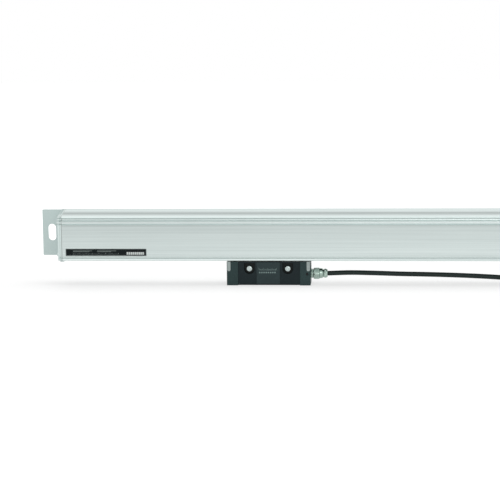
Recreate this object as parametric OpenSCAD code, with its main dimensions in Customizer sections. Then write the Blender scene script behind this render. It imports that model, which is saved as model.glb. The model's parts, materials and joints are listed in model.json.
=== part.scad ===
// Sealed linear encoder. A glass scale hangs inside an extruded housing. A carriage rolls along it and is
// driven by a thin blade, which passes between two rubber lips to the scanning head underneath.
// X runs along the scale, -Y is the front, +Z is up. The origin lies under the middle of the scale, on the
// surface that the head stands on.

/* [Housing] */
// Length that the scale measures
measuring_len = 420; // [320:10:900]
// Housing length needed beyond the measured length, both ends together
housing_extra = 116; // [112:2:160]
// Housing depth, front to back
housing_depth = 37; // [36:0.5:42]
// Housing height
housing_h = 56; // [55:0.5:64]
// Housing wall thickness
wall = 3.2; // [2.9:0.1:3.6]
// Height that the sloping roof rises from the front edge to the back
roof_rise = 5; // [3:0.5:6]
// Depth of the panel recessed in the front face
panel_depth = 0.5; // [0.3:0.1:0.8]
// Half the width of the slot in the underside
slot_half = 6.5; // [6:0.25:7.5]
// Gap between the head and the underside of the housing
head_gap = 1.2; // [0.8:0.1:2]

/* [Glass scale] */
// Thickness of the glass
glass_t = 4; // [3:0.25:4.5]
// Height of the glass
glass_h = 24; // [22:0.5:24.5]
// Distance of the glass behind the middle of the housing
glass_y = 4; // [3.5:0.1:4.5]
// Thickness of the elastic strip that holds the glass
cushion_t = 0.5; // [0.4:0.1:0.8]

/* [Ends] */
// Thickness of the rubber gasket
gasket_t = 0.8; // [0.5:0.1:1.2]
// Thickness of the inner end cap
cap_t = 1.7; // [1.5:0.1:3]
// Thickness of the bracket's end flange
flange_t = 2.5; // [2:0.25:4]
// Depth of the foot under the end cap
foot_drop = 3.2; // [2:0.2:4]
// Width of the foot under the end cap
foot_w = 14; // [14:0.5:20]
// Thickness of the bracket's back plate
plate_t = 3; // [2:0.25:4]
// Length that the back plate stands out past the flange
plate_reach = 24; // [22:0.5:34]
// Height of the back plate
bracket_h = 54.5; // [46:0.5:55.5]
// Width of the bracket slot
slot_w = 9.2; // [6:0.2:10]
// End-to-end length of the bracket slot
slot_len = 19.5; // [14:0.5:26]
// Distance from the flange to the middle of the slot
slot_out = 13; // [11:0.5:16]
// Height of the middle of the slot above the underside of the housing
slot_up = 28.5; // [24:0.5:32]

/* [Label] */
// Length of the rating label
label_len = 93.5; // [60:0.5:120]
// Height of the rating label
label_h = 8; // [6:0.5:12]
// Distance from the end of the housing to the label
label_in = 4; // [2:0.5:30]

/* [Scanning head] */
// Where the middle of the head stands along the scale
head_x = -30.5; // [-60:0.5:60]
// Length of the head
head_len = 96; // [92:1:110]
// Depth of the head, front to back
head_depth = 29; // [27:0.5:34]
// Front face of the head, in front of the middle of the housing
head_front = 15; // [14:0.5:16]
// Height of the head, without the plate on it
head_h = 26.8; // [26:0.2:32]
// Length of the left end cover
left_cover_len = 13; // [9:0.5:14]
// Length of the right end cover
right_cover_len = 12; // [9:0.5:13]
// Distance between the two mounting screws
screw_pitch = 44; // [40:0.5:46]
// Depth of the mounting screws below the top of the head
screw_drop = 7.3; // [6:0.1:8]
// Radius of the mounting screws
screw_r = 2; // [1.5:0.25:2]
// Radius of a mounting screw's head
screw_head_r = 3.5; // [3:0.25:4]
// Radius of the pocket round a mounting screw's head
pocket_r = 6; // [5:0.25:6.5]
// Depth of the pocket
pocket_depth = 3.5; // [2.5:0.25:4]
// Thickness of the steel plate on the head
top_plate_t = 1; // [0.6:0.1:1.4]
// Width of the plate's bent ears
ear_w = 3.8; // [3:0.2:6]
// Length of the plate's bent ears
ear_len = 10; // [7:0.5:12]

/* [Blade and carriage] */
// Length of the blade
blade_len = 28; // [20:1:30]
// Greatest thickness of the blade
blade_t = 1.4; // [1:0.1:1.6]
// Gap between the blade and each lip
lip_gap = 0.3; // [0.2:0.05:0.6]
// Half the length of the carriage
carriage_half = 34; // [32:1:38]
// Radius of the rollers
roller_r = 4; // [3.5:0.25:4]
// Width of the rollers
roller_w = 3; // [2.5:0.25:3]
// Radius of the roller pins
pin_r = 1.5; // [1:0.1:2]
// Radius of the coupling rod
rod_r = 0.7; // [0.5:0.1:1]
// Radius of the condenser lens
lens_r = 3.5; // [3:0.1:3.6]

/* [Cable] */
// Diameter of the cable
cable_d = 5.5; // [4.5:0.25:6]
// Height of the cable outlet
gland_z = 12; // [11:0.5:13]
// Width across the flats of the gland nut
nut_af = 12.4; // [11.5:0.1:14]

/* [Plug] */
// Width of the plug hood
hood_w = 33; // [32:0.5:38]
// Thickness of the plug hood
hood_t = 15; // [14:0.5:18]
// Length of the plug hood
hood_len = 40; // [38:0.5:50]
// Distance between the thumbscrews
thumb_pitch = 25; // [24.5:0.5:26]

/* [Hidden] */
$fn = 32;

silver = "#c3cdca";
steel = "#b4bcb9";
nickel = "#b9c0ad";
black = "#33403f";
rubber = "#1c1f20";
cut = 1;               // how far a cut runs past the face that it opens
snug = 0.05;           // radial clearance of a screw in its thread
loose = 0.25;          // radial clearance of a screw in a plain hole
seat = 0.02;           // clearance of a piece that lies in its recess
edge = 0.8;            // small chamfer on an extruded edge
circle_steps = 10;     // straight pieces in a rounded stretch of an outline

// Housing
housing_len = measuring_len + housing_extra;
housing_z = head_h + top_plate_t + head_gap;
back_y = housing_depth / 2;
front_y = -back_y;
ridge_z = housing_h - roof_rise;      // front edge of the roof
roof_back = back_y - 8;               // where the roof levels out
bead_z = ridge_z - 6.9;
bead_r = 2.25;
bead_half_angle = 53;
cove_z = ridge_z - 3.3;
cove_r = 1.945;
cove_half_angle = 61;
cove_depth = 2.6;
groove_z = ridge_z - 9.2;             // sharp line between the panel and the bead
panel_z = 5.6;                        // lower edge of the panel
line_z = 3.4;                         // middle of the line under the panel
line_half = 0.5;                      // half the width of the line's floor
line_depth = 0.9;                     // depth of the line
pad_h = 10.6;                         // height of the raised pads on the back
relief = 0.6;                         // depth of the back between the pads
floor_t = 5.2;                        // thickness of the underside
inner_y = back_y - wall;
ceiling_z = ridge_z - 3.4;
boss_r = 3.3;
boss_bore_r = 1.65;
boss_in = 3.1;                        // from the inner wall to a boss's axis
boss_low_z = floor_t + 2;
boss_high_z = bead_z + 0.3;
boss_places = [for (side = [-1, 1], z = [boss_low_z, boss_high_z]) [side * (inner_y - boss_in), z]];

// Glass and its holding groove, heights from the underside of the housing
groove_top = ceiling_z + 4.2;
glass_top = groove_top - cushion_t - seat;
glass_low = glass_top - glass_h;
rib_low = ceiling_z - 3.4;
rib_t = 2;
groove_half = glass_t / 2 + cushion_t + seat;
glass_front = glass_y - glass_t / 2;
glass_back = glass_y + glass_t / 2;
glass_end = 6;                        // from the end of the housing to the end of the glass

// Lip seals, heights from the underside of the housing
bulb_r = 1.55;
bulb_out = 1.3;                       // from the slot's edge to the bulb's axis
bulb_z = 2.6;
lip_t = 1;
lip_rise = 2.6;
lip_edge_y = blade_t / 2 + lip_gap;

// Ends
cap_face = housing_len / 2 + gasket_t;
flange_face = cap_face + cap_t + flange_t;
slot_x = flange_face + slot_out;
slot_z = housing_z + slot_up;
end_screw_r = boss_bore_r - snug;
end_screw_head_r = 2.9;
end_screw_head_h = 1.6;

// Head
head_back = head_depth - head_front;
head_end = head_len / 2;
cover_proud = 0.4;                    // how far the covers stand proud of the body
rim_back = 1.8 - head_front;          // rear face of the rim in front of the steel plate
rim_chamfer = 0.3;
pocket_top = head_h - 0.9;            // upper end of the pockets round the mounting screws
body_left = -head_end + left_cover_len;
body_right = head_end - right_cover_len;
screw_z = head_h - screw_drop;
pocket_seat = -head_front + pocket_depth;
tunnel_front = -8.5;
tunnel_back = 9.5;
tunnel_low = 4;
tunnel_high = 12;
board_z = 6;
board_t = 1.6;
cover_screw_y = 8;
cover_screw_z = head_h - 6.8;
cover_screw_r = 1.25;
cover_screw_depth = 5;
plate_screw_r = 1.25;
plate_screw_head_r = 2.3;
plate_screws_x = [body_left + 4, body_right - 4];
plate_screw_y = 5.5;
ear_x = head_end - 2.5;
blade_foot = 5;                       // depth of the blade in the head
stud_y = back_y;                      // the mounting screws end flush with the housing's back

// Carriage, heights from the underside of the housing
roll_gap = 0.1;                       // between a roller and the glass
base_t = 3;
edge_axis_z = glass_low - roll_gap - roller_r;
base_z = edge_axis_z - roller_r - 0.9 - base_t;
base_top = base_z + base_t;
arm_top = rib_low - 4.4;
front_arm_y = -10;
rear_arm_y = 9;
arm_t = 3;
face_axis_y = glass_front - roll_gap - roller_r;
low_roller_z = glass_low + 3.2;
lens_z = glass_low + lens_r + 0.5;
high_roller_z = arm_top - 0.6;
shelf_t = 2.2;
shelf_gap = 0.3;                      // between a shelf and its roller
pin_drop = roller_w / 2 + shelf_gap + shelf_t;
face_reach = carriage_half - 6;
edge_reach = carriage_half - 14;
cheek_t = 1.6;
cheek_gap = 0.3;
pin_fit = 0.06;                       // radial running clearance of a roller on its pin
holder_z = base_z - 5;
holder_h = 4;
holder_half = blade_len / 2 + 3;
holder_half_w = 3;
cross_pin_x = 5;                      // pins that hold the blade in its holder
cross_pin_r = 0.8;
rod_z = holder_z + holder_h / 2;
lug_t = 4;
board_front = glass_back + 1.4;

// Gland, lengths from the end face of the head
gland_end = 19;
gland_hex_len = 2.6;
nut_from = 3;
nut_hex_len = 7;
dome_r = nut_af / 2 - 0.4;
dome_bend = 4.6;
dome_angle = 60;
nut_to = nut_from + nut_hex_len + dome_bend * sin(dome_angle);
collar_r = 5.1;
cable_hole_r = cable_d / 2 + loose;
exit_x = head_x + head_end + gland_end;

// Cable. The route starts at the gland's mouth. Heights are the cable's middle.
route = [[-20, 0, 12], [0, 0, 12], [12, 0, 12.4], [28, 0, 12.8], [54, 0, 12.3], [83, 0, 11.4],
    [112, 0, 10.9], [141, -1, 10.3], [166, -2.5, 9.6], [188, -4.5, 8.8], [208, -7, 7.8], [228, -10.4, 6.5],
    [248, -14.4, 5], [268, -18.6, 3.6], [286, -21.8, 2.9], [301, -23, 2.75]];
cable_sides = 12;
hank_x = 356;                         // middle of the hank, from the gland's mouth
hank_run = 110;
fold_r = [17.5, 23];                  // turns lie side by side at these radii
hank_levels = 4;
hank_h = hank_levels * cable_d;
hank_waist = 11;                      // half its width where the tie holds it
tie_w = 14;
tie_t = 1;
tail = [[411, -23, 19.25], [420, -22.8, 19.1], [429, -21.4, 17.7], [438, -18.8, 14.8], [447, -15.5, 11.6],
    [456, -12.3, 9.1], [465, -9.7, 7.8], [474, -8.3, 7.5], [486, -8, 7.5]];
plug_x = 484;                         // rear of the boot, from the gland's mouth
plug_y = -8;
boot_len = 12;
boot_r = 4.6;
hood_rear_w = 15;
hood_shoulder = 20;                   // from the hood's rear to where it is full width
shell_w = 30.8;
shell_h = 12.4;
shell_t = 1;
mate_w = 18;
mate_h = 9.4;
mate_len = 5.8;
thumb_head_r = 4;
thumb_head_len = 9;
thumb_r = 1.4;
thumb_out = 6;
hood_screw_x = hood_shoulder + 4;
hood_screw_y = 8.6;
hood_screw_r = 1.1;
hood_x = exit_x + plug_x + boot_len;
hood_z = hood_t / 2;

function arc(c, r, from, to) =
    [for (i = [0:circle_steps]) let(a = from + (to - from) * i / circle_steps) c + r * [cos(a), sin(a)]];

// Extrudes a Y-Z outline along X.
module along_x(from, to) {
    translate([from, 0, 0]) rotate([90, 0, 90]) linear_extrude(to - from) children();
}
// Extrudes an X-Z outline along Y.
module along_y(from, to) {
    translate([0, to, 0]) rotate([90, 0, 0]) linear_extrude(to - from) children();
}
module rod_x(from, to, y, z, r, sides = 32) {
    translate([from, y, z]) rotate([0, 90, 0]) cylinder(h = to - from, r = r, $fn = sides);
}
module rod_y(from, to, x, z, r, sides = 32) {
    translate([x, from, z]) rotate([-90, 0, 0]) cylinder(h = to - from, r = r, $fn = sides);
}
module block(x, y, z) {
    translate([x[0], y[0], z[0]]) cube([x[1] - x[0], y[1] - y[0], z[1] - z[0]]);
}
// A rectangle with its corners cut at 45 degrees.
module chamfered(x, y, c) {
    polygon([[x[0] + c, y[0]], [x[1] - c, y[0]], [x[1], y[0] + c], [x[1], y[1] - c], [x[1] - c, y[1]],
        [x[0] + c, y[1]], [x[0], y[1] - c], [x[0], y[0] + c]]);
}
module at_housing() {
    translate([0, 0, housing_z]) children();
}
module at_head() {
    translate([head_x, 0, 0]) children();
}
module at_carriage() {
    translate([head_x, 0, housing_z]) children();
}
// Puts the right-hand version of an end piece on the left.
module on_left() {
    mirror([1, 0, 0]) children();
}

// ---- Housing ----

function roof_z(y) = ridge_z + roof_rise * (y - front_y - edge) / (roof_back - front_y - edge);

front_outline = concat(
    [[front_y + edge, 0], [front_y, edge], [front_y, line_z - line_half - 0.5],
     [front_y + line_depth, line_z - line_half], [front_y + line_depth, line_z + line_half],
     [front_y, line_z + line_half + 0.5], [front_y, panel_z - panel_depth],
     [front_y + panel_depth, panel_z], [front_y + panel_depth, groove_z - 0.5],
     [front_y + panel_depth + 0.8, groove_z]],
    arc([front_y + bead_r, bead_z], bead_r, 180 + bead_half_angle, 180 - bead_half_angle),
    arc([front_y + cove_depth - cove_r, cove_z], cove_r, -cove_half_angle, cove_half_angle),
    [[front_y, ridge_z - 1.4], [front_y, ridge_z - edge], [front_y + edge, ridge_z]]);
roof_outline = [[-6, roof_z(-6)], [-5.3, roof_z(-5.3) - 0.5], [-4.6, roof_z(-4.6)],
    [roof_back, housing_h], [back_y - edge, housing_h], [back_y, housing_h - edge]];
back_outline = [[back_y, housing_h - pad_h], [back_y - relief, housing_h - pad_h - relief],
    [back_y - relief, pad_h + relief], [back_y, pad_h], [back_y, edge], [back_y - edge, 0]];

module housing_outline() {
    polygon(concat(front_outline, roof_outline, back_outline));
}

module housing_cavity() {
    corner = 3;                       // keeps the wall behind the cove thick
    polygon([[-inner_y, floor_t], [inner_y, floor_t], [inner_y, ceiling_z], [-inner_y + corner, ceiling_z],
        [-inner_y + corner, bead_z], [-inner_y, bead_z - corner]]);
}

module housing() {
    end = housing_len / 2;
    past = [-end - cut, end + cut];
    rib_edge = groove_half + rib_t;
    color(silver) at_housing() difference() {
        union() {
            difference() {
                along_x(-end, end) housing_outline();
                along_x(past[0], past[1]) housing_cavity();
            }
            for (place = boss_places) rod_x(-end, end, place[0], place[1], boss_r);
            block([-end, end], [glass_y - rib_edge, glass_y + rib_edge], [rib_low, ceiling_z + 0.5]);
        }
        // Slot for the blade, with a round groove for the bulb of each lip
        block(past, [-slot_half, slot_half], [-cut, floor_t + cut]);
        for (side = [-1, 1]) rod_x(past[0], past[1], side * (slot_half + bulb_out), bulb_z, bulb_r + snug);
        block(past, [glass_y - groove_half, glass_y + groove_half], [rib_low - cut, groove_top]);
        for (place = boss_places) rod_x(past[0], past[1], place[0], place[1], boss_bore_r);
    }
}

module glass_scale() {
    color("#a9c4be") at_housing()
        block([glass_end - housing_len / 2, housing_len / 2 - glass_end], [glass_front, glass_back],
            [glass_low, glass_top]);
}

// Elastic channel over the glass's upper edge
module scale_cushion() {
    depth = glass_top - rib_low;
    color("#3a3d40") at_housing() along_x(glass_end - housing_len / 2, housing_len / 2 - glass_end)
        difference() {
            translate([glass_front - cushion_t, rib_low])
                square([glass_t + 2 * cushion_t, depth + cushion_t]);
            translate([glass_front, rib_low - cut]) square([glass_t, depth + cut]);
        }
}

// One lip: a bulb that sits in the groove, and a thin lip that slopes up to the blade.
module lip_seal() {
    root_y = slot_half - 0.3;
    neck = 0.75;
    tip_z = bulb_z + lip_rise;
    color(rubber) at_housing() {
        rod_x(-housing_len / 2, housing_len / 2, slot_half + bulb_out, bulb_z, bulb_r);
        along_x(-housing_len / 2, housing_len / 2)
            polygon([[slot_half + bulb_out, bulb_z - neck], [root_y, bulb_z - neck], [root_y - 0.9, bulb_z - 1.1],
                [lip_edge_y, tip_z - 0.35], [lip_edge_y, tip_z], [root_y - 1.2, bulb_z + lip_t - 0.2],
                [root_y, bulb_z + neck], [slot_half + bulb_out, bulb_z + neck]]);
    }
}
module lip_seal_rear() {
    lip_seal();
}
module lip_seal_front() {
    mirror([0, 1, 0]) lip_seal();
}

// Rating label, left bare
module type_label() {
    left = label_in - housing_len / 2;
    low = panel_z + 0.3;
    color("#141819") at_housing()
        block([left, left + label_len], [front_y + panel_depth - 0.25, front_y + panel_depth],
            [low, low + label_h]);
}

// ---- Ends ----

module end_holes(from, to, r) {
    for (place = boss_places) rod_x(from, to, place[0], place[1], r);
}

// End piece with the housing's outline, and a foot that covers the ends of the lips
module end_plate(from, to) {
    along_x(from, to) housing_outline();
    along_x(from, to) chamfered([-foot_w / 2, foot_w / 2], [-foot_drop, foot_drop], 2 * edge);
}

module end_gasket() {
    color(rubber) at_housing() difference() {
        along_x(housing_len / 2, cap_face) difference() {
            housing_outline();
            chamfered([8 - inner_y, inner_y - 8], [floor_t + 3, ceiling_z - 6], 2);
        }
        end_holes(housing_len / 2 - cut, cap_face + cut, boss_bore_r + loose);
    }
}
module end_gasket_right() {
    end_gasket();
}
module end_gasket_left() {
    on_left() end_gasket();
}

module end_cap() {
    color("#aab3b0") at_housing() difference() {
        end_plate(cap_face, cap_face + cap_t);
        end_holes(cap_face - cut, cap_face + cap_t + cut, boss_bore_r + loose);
    }
}
module end_cap_right() {
    end_cap();
}
module end_cap_left() {
    on_left() end_cap();
}

// Angle bracket: a flange over the end cap, and a back plate with one upright slot.
module bracket() {
    flange_from = cap_face + cap_t;
    plate_top = housing_z + housing_h;
    straight = (slot_len - slot_w) / 2;
    corner = 0.6;
    color(silver) difference() {
        union() {
            at_housing() end_plate(flange_from, flange_face);
            along_y(back_y - plate_t, back_y)
                polygon([[flange_from, plate_top - bracket_h], [flange_from, plate_top - edge],
                    [flange_face + plate_reach - corner, plate_top - edge],
                    [flange_face + plate_reach, plate_top - edge - corner],
                    [flange_face + plate_reach, plate_top - bracket_h + corner],
                    [flange_face + plate_reach - corner, plate_top - bracket_h]]);
        }
        at_housing() end_holes(flange_from - cut, flange_face + cut, boss_bore_r + loose);
        for (side = [-1, 1]) rod_y(back_y - plate_t - cut, back_y + cut, slot_x, slot_z + side * straight, slot_w / 2);
        block([slot_x - slot_w / 2, slot_x + slot_w / 2], [back_y - plate_t - cut, back_y + cut],
            [slot_z - straight, slot_z + straight]);
    }
}
module bracket_right() {
    bracket();
}
module bracket_left() {
    on_left() bracket();
}

// Four pan head screws that go through the bracket and the cap into the housing's channels
module end_screws() {
    color(steel) at_housing() for (place = boss_places) difference() {
        union() {
            rod_x(housing_len / 2 - 9, flange_face, place[0], place[1], end_screw_r);
            rod_x(flange_face, flange_face + end_screw_head_h, place[0], place[1], end_screw_head_r);
        }
        rod_x(flange_face + 0.6, flange_face + end_screw_head_h + cut, place[0], place[1], 1.3, 6);
    }
}
module end_screws_right() {
    end_screws();
}
module end_screws_left() {
    on_left() end_screws();
}

// ---- Scanning head ----

// Section of the head. A rim along the front hides the edge of the steel plate that lies behind it.
module head_section(proud) {
    front = -head_front + cover_proud - proud;
    back = head_back - proud;
    low = cover_proud - proud;
    rim = head_h + top_plate_t;
    polygon([[front + edge, low], [back - edge, low], [back, low + edge], [back, head_h - edge],
        [back - edge, head_h], [rim_back, head_h], [rim_back, rim], [front + rim_chamfer, rim],
        [front, rim - rim_chamfer], [front, low + edge]]);
}

module head_body() {
    color(black) at_head() difference() {
        along_x(body_left, body_right) head_section(0);
        block([body_left - cut, body_right + cut], [tunnel_front, tunnel_back], [tunnel_low, tunnel_high]);
        for (side = [-1, 1]) {
            x = side * screw_pitch / 2;
            rod_y(-head_front - cut, pocket_seat, x, screw_z, pocket_r);
            block([x - pocket_r, x + pocket_r], [-head_front - cut, pocket_seat], [screw_z, pocket_top]);
            rod_y(pocket_seat - cut, head_back + cut, x, screw_z, screw_r + loose);
        }
        // Shallow field between the screws
        block([-14, 13], [-head_front - cut, cover_proud + 0.3 - head_front], [cover_proud + 2.5, head_h - 3]);
        blade_section(head_h - blade_foot, head_h + cut, seat);
        for (x = plate_screws_x, side = [-1, 1]) translate([x, side * plate_screw_y, head_h - 5])
            cylinder(h = 6, r = plate_screw_r + snug);
        for (side = [-1, 1]) {
            rod_x(body_left - cut, body_left + cover_screw_depth, side * cover_screw_y, cover_screw_z,
                cover_screw_r + snug);
            rod_x(body_right - cover_screw_depth, body_right + cut, side * cover_screw_y, cover_screw_z,
                cover_screw_r + snug);
        }
    }
}

module cover_holes(from, to, head_from, head_to) {
    for (side = [-1, 1]) {
        rod_x(from, to, side * cover_screw_y, cover_screw_z, cover_screw_r + loose);
        rod_x(head_from, head_to, side * cover_screw_y, cover_screw_z, 2.6);
    }
}

// The plate's ear passes through the rim
module ear_notch(side) {
    half = ear_w / 2 + 0.2;
    block([side * ear_x - half, side * ear_x + half], [-head_front - cut, rim_back + cut],
        [head_h, head_h + top_plate_t + cut]);
}

module head_cover_left() {
    color("#3b4847") at_head() difference() {
        along_x(-head_end, body_left) head_section(cover_proud);
        ear_notch(-1);
        cover_holes(-head_end - cut, body_left + cut, -head_end - cut, -head_end + 2);
    }
}

module head_cover_right() {
    color("#3b4847") at_head() difference() {
        along_x(body_right, head_end) head_section(cover_proud);
        ear_notch(1);
        cover_holes(body_right - cut, head_end + cut, head_end - 2, head_end + cut);
        rod_x(body_right - cut, head_end + cut, 0, gland_z, 4.5 + snug);
        rod_y(-head_front - cut, -6, head_end - 4, gland_z + 1.3, 1.5 + snug);
    }
}

module cover_screws() {
    color("#202526") at_head() for (end = [-1, 1], side = [-1, 1]) {
        face = end < 0 ? -head_end + 2 : head_end - 2;
        tip = end < 0 ? body_left + cover_screw_depth - 0.5 : body_right - cover_screw_depth + 0.5;
        difference() {
            union() {
                rod_x(min(face, tip), max(face, tip), side * cover_screw_y, cover_screw_z, cover_screw_r);
                rod_x(end < 0 ? face - 1.7 : face, end < 0 ? face : face + 1.7, side * cover_screw_y,
                    cover_screw_z, 2.35);
            }
            rod_x(end < 0 ? face - 3 : face + 0.6, end < 0 ? face - 0.6 : face + 3, side * cover_screw_y,
                cover_screw_z, 1.1, 6);
        }
    }
}

// Signal board, lying in the head's tunnel on two ledges of its own pillars
module head_board() {
    color("#1f5a3c") at_head() {
        block([body_left + 1, body_right - 1], [tunnel_front + 0.3, tunnel_back - 0.3],
            [board_z, board_z + board_t]);
        for (x = [body_left + 5, body_right - 5], side = [-1, 1]) translate([x, 0.5 + side * 7, tunnel_low])
            cylinder(h = board_z - tunnel_low, r = 1.4);
    }
}
module board_parts() {
    top = board_z + board_t;
    color("#222222") at_head() {
        block([-16, -6], [-4, 6], [top, top + 1.4]);
        block([2, 8], [-3, 2], [top, top + 1.2]);
        block([12, 16], [-5, 6], [top, top + 2.6]);
        translate([-22, -3, top]) cylinder(h = 3.4, r = 2.2);
        translate([-22, 4, top]) cylinder(h = 3.4, r = 2.2);
    }
}

// Steel plate on the head. Its two ears are bent down over the front corners.
module blade_plate() {
    ear_low = head_h - ear_len;
    color(steel) at_head() difference() {
        union() {
            translate([0, 0, head_h]) linear_extrude(top_plate_t)
                chamfered([0.3 - head_end, head_end - 0.3], [rim_back + 0.2, head_back - cover_proud - 0.3],
                    edge);
            for (side = [-1, 1]) {
                x = side * ear_x;
                block([x - ear_w / 2, x + ear_w / 2], [-head_front - top_plate_t, rim_back + 2],
                    [head_h, head_h + top_plate_t]);
                block([x - ear_w / 2, x + ear_w / 2], [-head_front - top_plate_t, -head_front],
                    [ear_low + ear_w / 2, head_h]);
                rod_y(-head_front - top_plate_t, -head_front, x, ear_low + ear_w / 2, ear_w / 2);
            }
        }
        blade_section(head_h - cut, head_h + top_plate_t + cut, loose);
        for (x = plate_screws_x, side = [-1, 1]) translate([x, side * plate_screw_y, head_h - cut]) {
            cylinder(h = 4, r = plate_screw_r + loose);
        }
    }
}

module plate_screws() {
    color(steel) at_head() for (x = plate_screws_x, side = [-1, 1])
        translate([x, side * plate_screw_y, 0]) difference() {
            union() {
                translate([0, 0, head_h - 4.5]) cylinder(h = 4.5 + top_plate_t, r = plate_screw_r);
                translate([0, 0, head_h + top_plate_t]) cylinder(h = 0.6, r = plate_screw_head_r);
            }
            translate([0, 0, head_h + top_plate_t + 0.1]) cylinder(h = 2, r = 1, $fn = 6);
        }
}

// The blade has a pointed, boat-shaped section, which parts the lips.
module blade_section(from, to, room) {
    half = blade_len / 2;
    nose = 8;
    translate([0, 0, from]) linear_extrude(to - from)
        polygon([[-half - room, 0], [nose - half, -blade_t / 2 - room], [half - nose, -blade_t / 2 - room],
            [half + room, 0], [half - nose, blade_t / 2 + room], [nose - half, blade_t / 2 + room]]);
}
module blade() {
    color(steel) at_head() difference() {
        blade_section(head_h - blade_foot, housing_z + holder_z + holder_h - 1, 0);
        // Two holes for the holder's cross pins
        for (side = [-1, 1])
            rod_y(-holder_half_w, holder_half_w, side * cross_pin_x, housing_z + rod_z, cross_pin_r);
    }
}

// Block on the blade's top, pinned to it, that takes the coupling rod
module blade_holder() {
    color("#8d9694") at_carriage() {
        difference() {
            block([-holder_half, holder_half], [-holder_half_w, holder_half_w], [holder_z, holder_z + holder_h]);
            blade_section(holder_z - cut, holder_z + holder_h - 1 + seat, seat);
            rod_x(holder_half - 2, holder_half + cut, 0, rod_z, rod_r + seat);
        }
        for (side = [-1, 1])
            rod_y(-holder_half_w, holder_half_w, side * cross_pin_x, rod_z, cross_pin_r - seat);
    }
}

// Stiff along the scale and free across it, so that the head's guideway can't strain the carriage.
module coupling_rod() {
    color("#d0d4d2") at_carriage() rod_x(holder_half - 1.9, carriage_half - 0.5, 0, rod_z, rod_r, 16);
}

module roller_shelf(x, z, half) {
    block([x - half, x + half], [front_arm_y + arm_t - cut, face_axis_y + 2.4],
        [z - pin_drop, z - pin_drop + shelf_t]);
}

module carriage() {
    window_half = 8;
    color("#9aa3a1") at_carriage() difference() {
        union() {
            block([-carriage_half, carriage_half], [front_arm_y, rear_arm_y + arm_t], [base_z, base_top]);
            block([-carriage_half, carriage_half], [front_arm_y, front_arm_y + arm_t], [base_z, arm_top]);
            block([-16, 16], [rear_arm_y, rear_arm_y + arm_t], [base_z, arm_top]);
            for (side = [-1, 1]) {
                roller_shelf(side * face_reach, low_roller_z, 5);
                // Cheeks on both sides of an edge roller
                for (hand = [-1, 1]) {
                    y = glass_y + hand * (roller_w / 2 + cheek_gap + cheek_t / 2);
                    block([side * edge_reach - 3.5, side * edge_reach + 3.5], [y - cheek_t / 2, y + cheek_t / 2],
                        [base_z, edge_axis_z + 2.5]);
                }
            }
            roller_shelf(0, high_roller_z, 5);
            // Lug for the coupling rod
            block([carriage_half - lug_t, carriage_half], [-3, 3], [rod_z - 2, base_top]);
            // Ring for the lamp
            rod_y(front_arm_y - 1.2, front_arm_y + arm_t, 0, lens_z, 4.4);
            // Frame that carries the lens and the reticle
            block([-window_half - 1.5, window_half + 1.5], [front_arm_y + arm_t - cut, glass_front - 0.9],
                [base_z, lens_z + lens_r + 0.9]);
        }
        rod_x(carriage_half - lug_t - cut, carriage_half + cut, 0, rod_z, rod_r + seat, 16);
        for (side = [-1, 1]) {
            translate([side * face_reach, face_axis_y, low_roller_z - pin_drop - seat])
                cylinder(h = 16, r = pin_r + seat);
            rod_y(glass_y - 4.2, glass_y + 4.2, side * edge_reach, edge_axis_z, pin_r + seat);
        }
        translate([0, face_axis_y, high_roller_z - pin_drop - seat]) cylinder(h = 16, r = pin_r + seat);
        // Lamp seat, light path and lens seat
        rod_y(front_arm_y - 2 * cut, front_arm_y + 3, 0, lens_z, 2.5 + snug);
        rod_y(front_arm_y, glass_front, 0, lens_z, lens_r - 1);
        rod_y(-4.5, glass_front, 0, lens_z, lens_r + snug);
        // Lightening windows in the front arm
        for (side = [-1, 1]) block([side * 17 - 5, side * 17 + 5], [front_arm_y - cut, front_arm_y + arm_t + cut],
            [base_top + 4, arm_top - 5]);
        // Recess behind the detector board for its wires
        block([-window_half, window_half], [rear_arm_y - cut, rear_arm_y + 1.7], [glass_low, arm_top + cut]);
    }
}

module roller_pins() {
    reach = roller_w / 2 + 0.9;
    color("#d0d4d2") at_carriage() {
        for (side = [-1, 1]) {
            pin_up(side * face_reach, low_roller_z);
            rod_y(glass_y - reach - 1, glass_y + reach + 1, side * edge_reach, edge_axis_z, pin_r);
        }
        pin_up(0, high_roller_z);
    }
}
// Upright pin through a shelf, with a thin head over the roller
module pin_up(x, z) {
    stem = pin_drop + roller_w / 2 + shelf_gap;
    translate([x, face_axis_y, z - pin_drop]) {
        cylinder(h = stem, r = pin_r);
        translate([0, 0, stem]) cylinder(h = 0.6, r = pin_r + 0.9);
    }
}

// Ball bearing, drawn as one ring with the groove between its races
module roller() {
    color("#c9cecc") difference() {
        cylinder(h = roller_w, r = roller_r, center = true);
        cylinder(h = roller_w + 2 * cut, r = pin_r + pin_fit, center = true);
        for (side = [-1, 1]) translate([0, 0, side * roller_w / 2]) difference() {
            cylinder(h = 0.6, r = roller_r - 0.7, center = true);
            cylinder(h = 1, r = pin_r + 0.8, center = true);
        }
    }
}
module face_roller(x, z) {
    at_carriage() translate([x, face_axis_y, z]) roller();
}
module edge_roller(x) {
    at_carriage() translate([x, glass_y, edge_axis_z]) rotate([90, 0, 0]) roller();
}
module face_roller_left() {
    face_roller(-face_reach, low_roller_z);
}
module face_roller_middle() {
    face_roller(0, high_roller_z);
}
module face_roller_right() {
    face_roller(face_reach, low_roller_z);
}
module edge_roller_left() {
    edge_roller(-edge_reach);
}
module edge_roller_right() {
    edge_roller(edge_reach);
}

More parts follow.
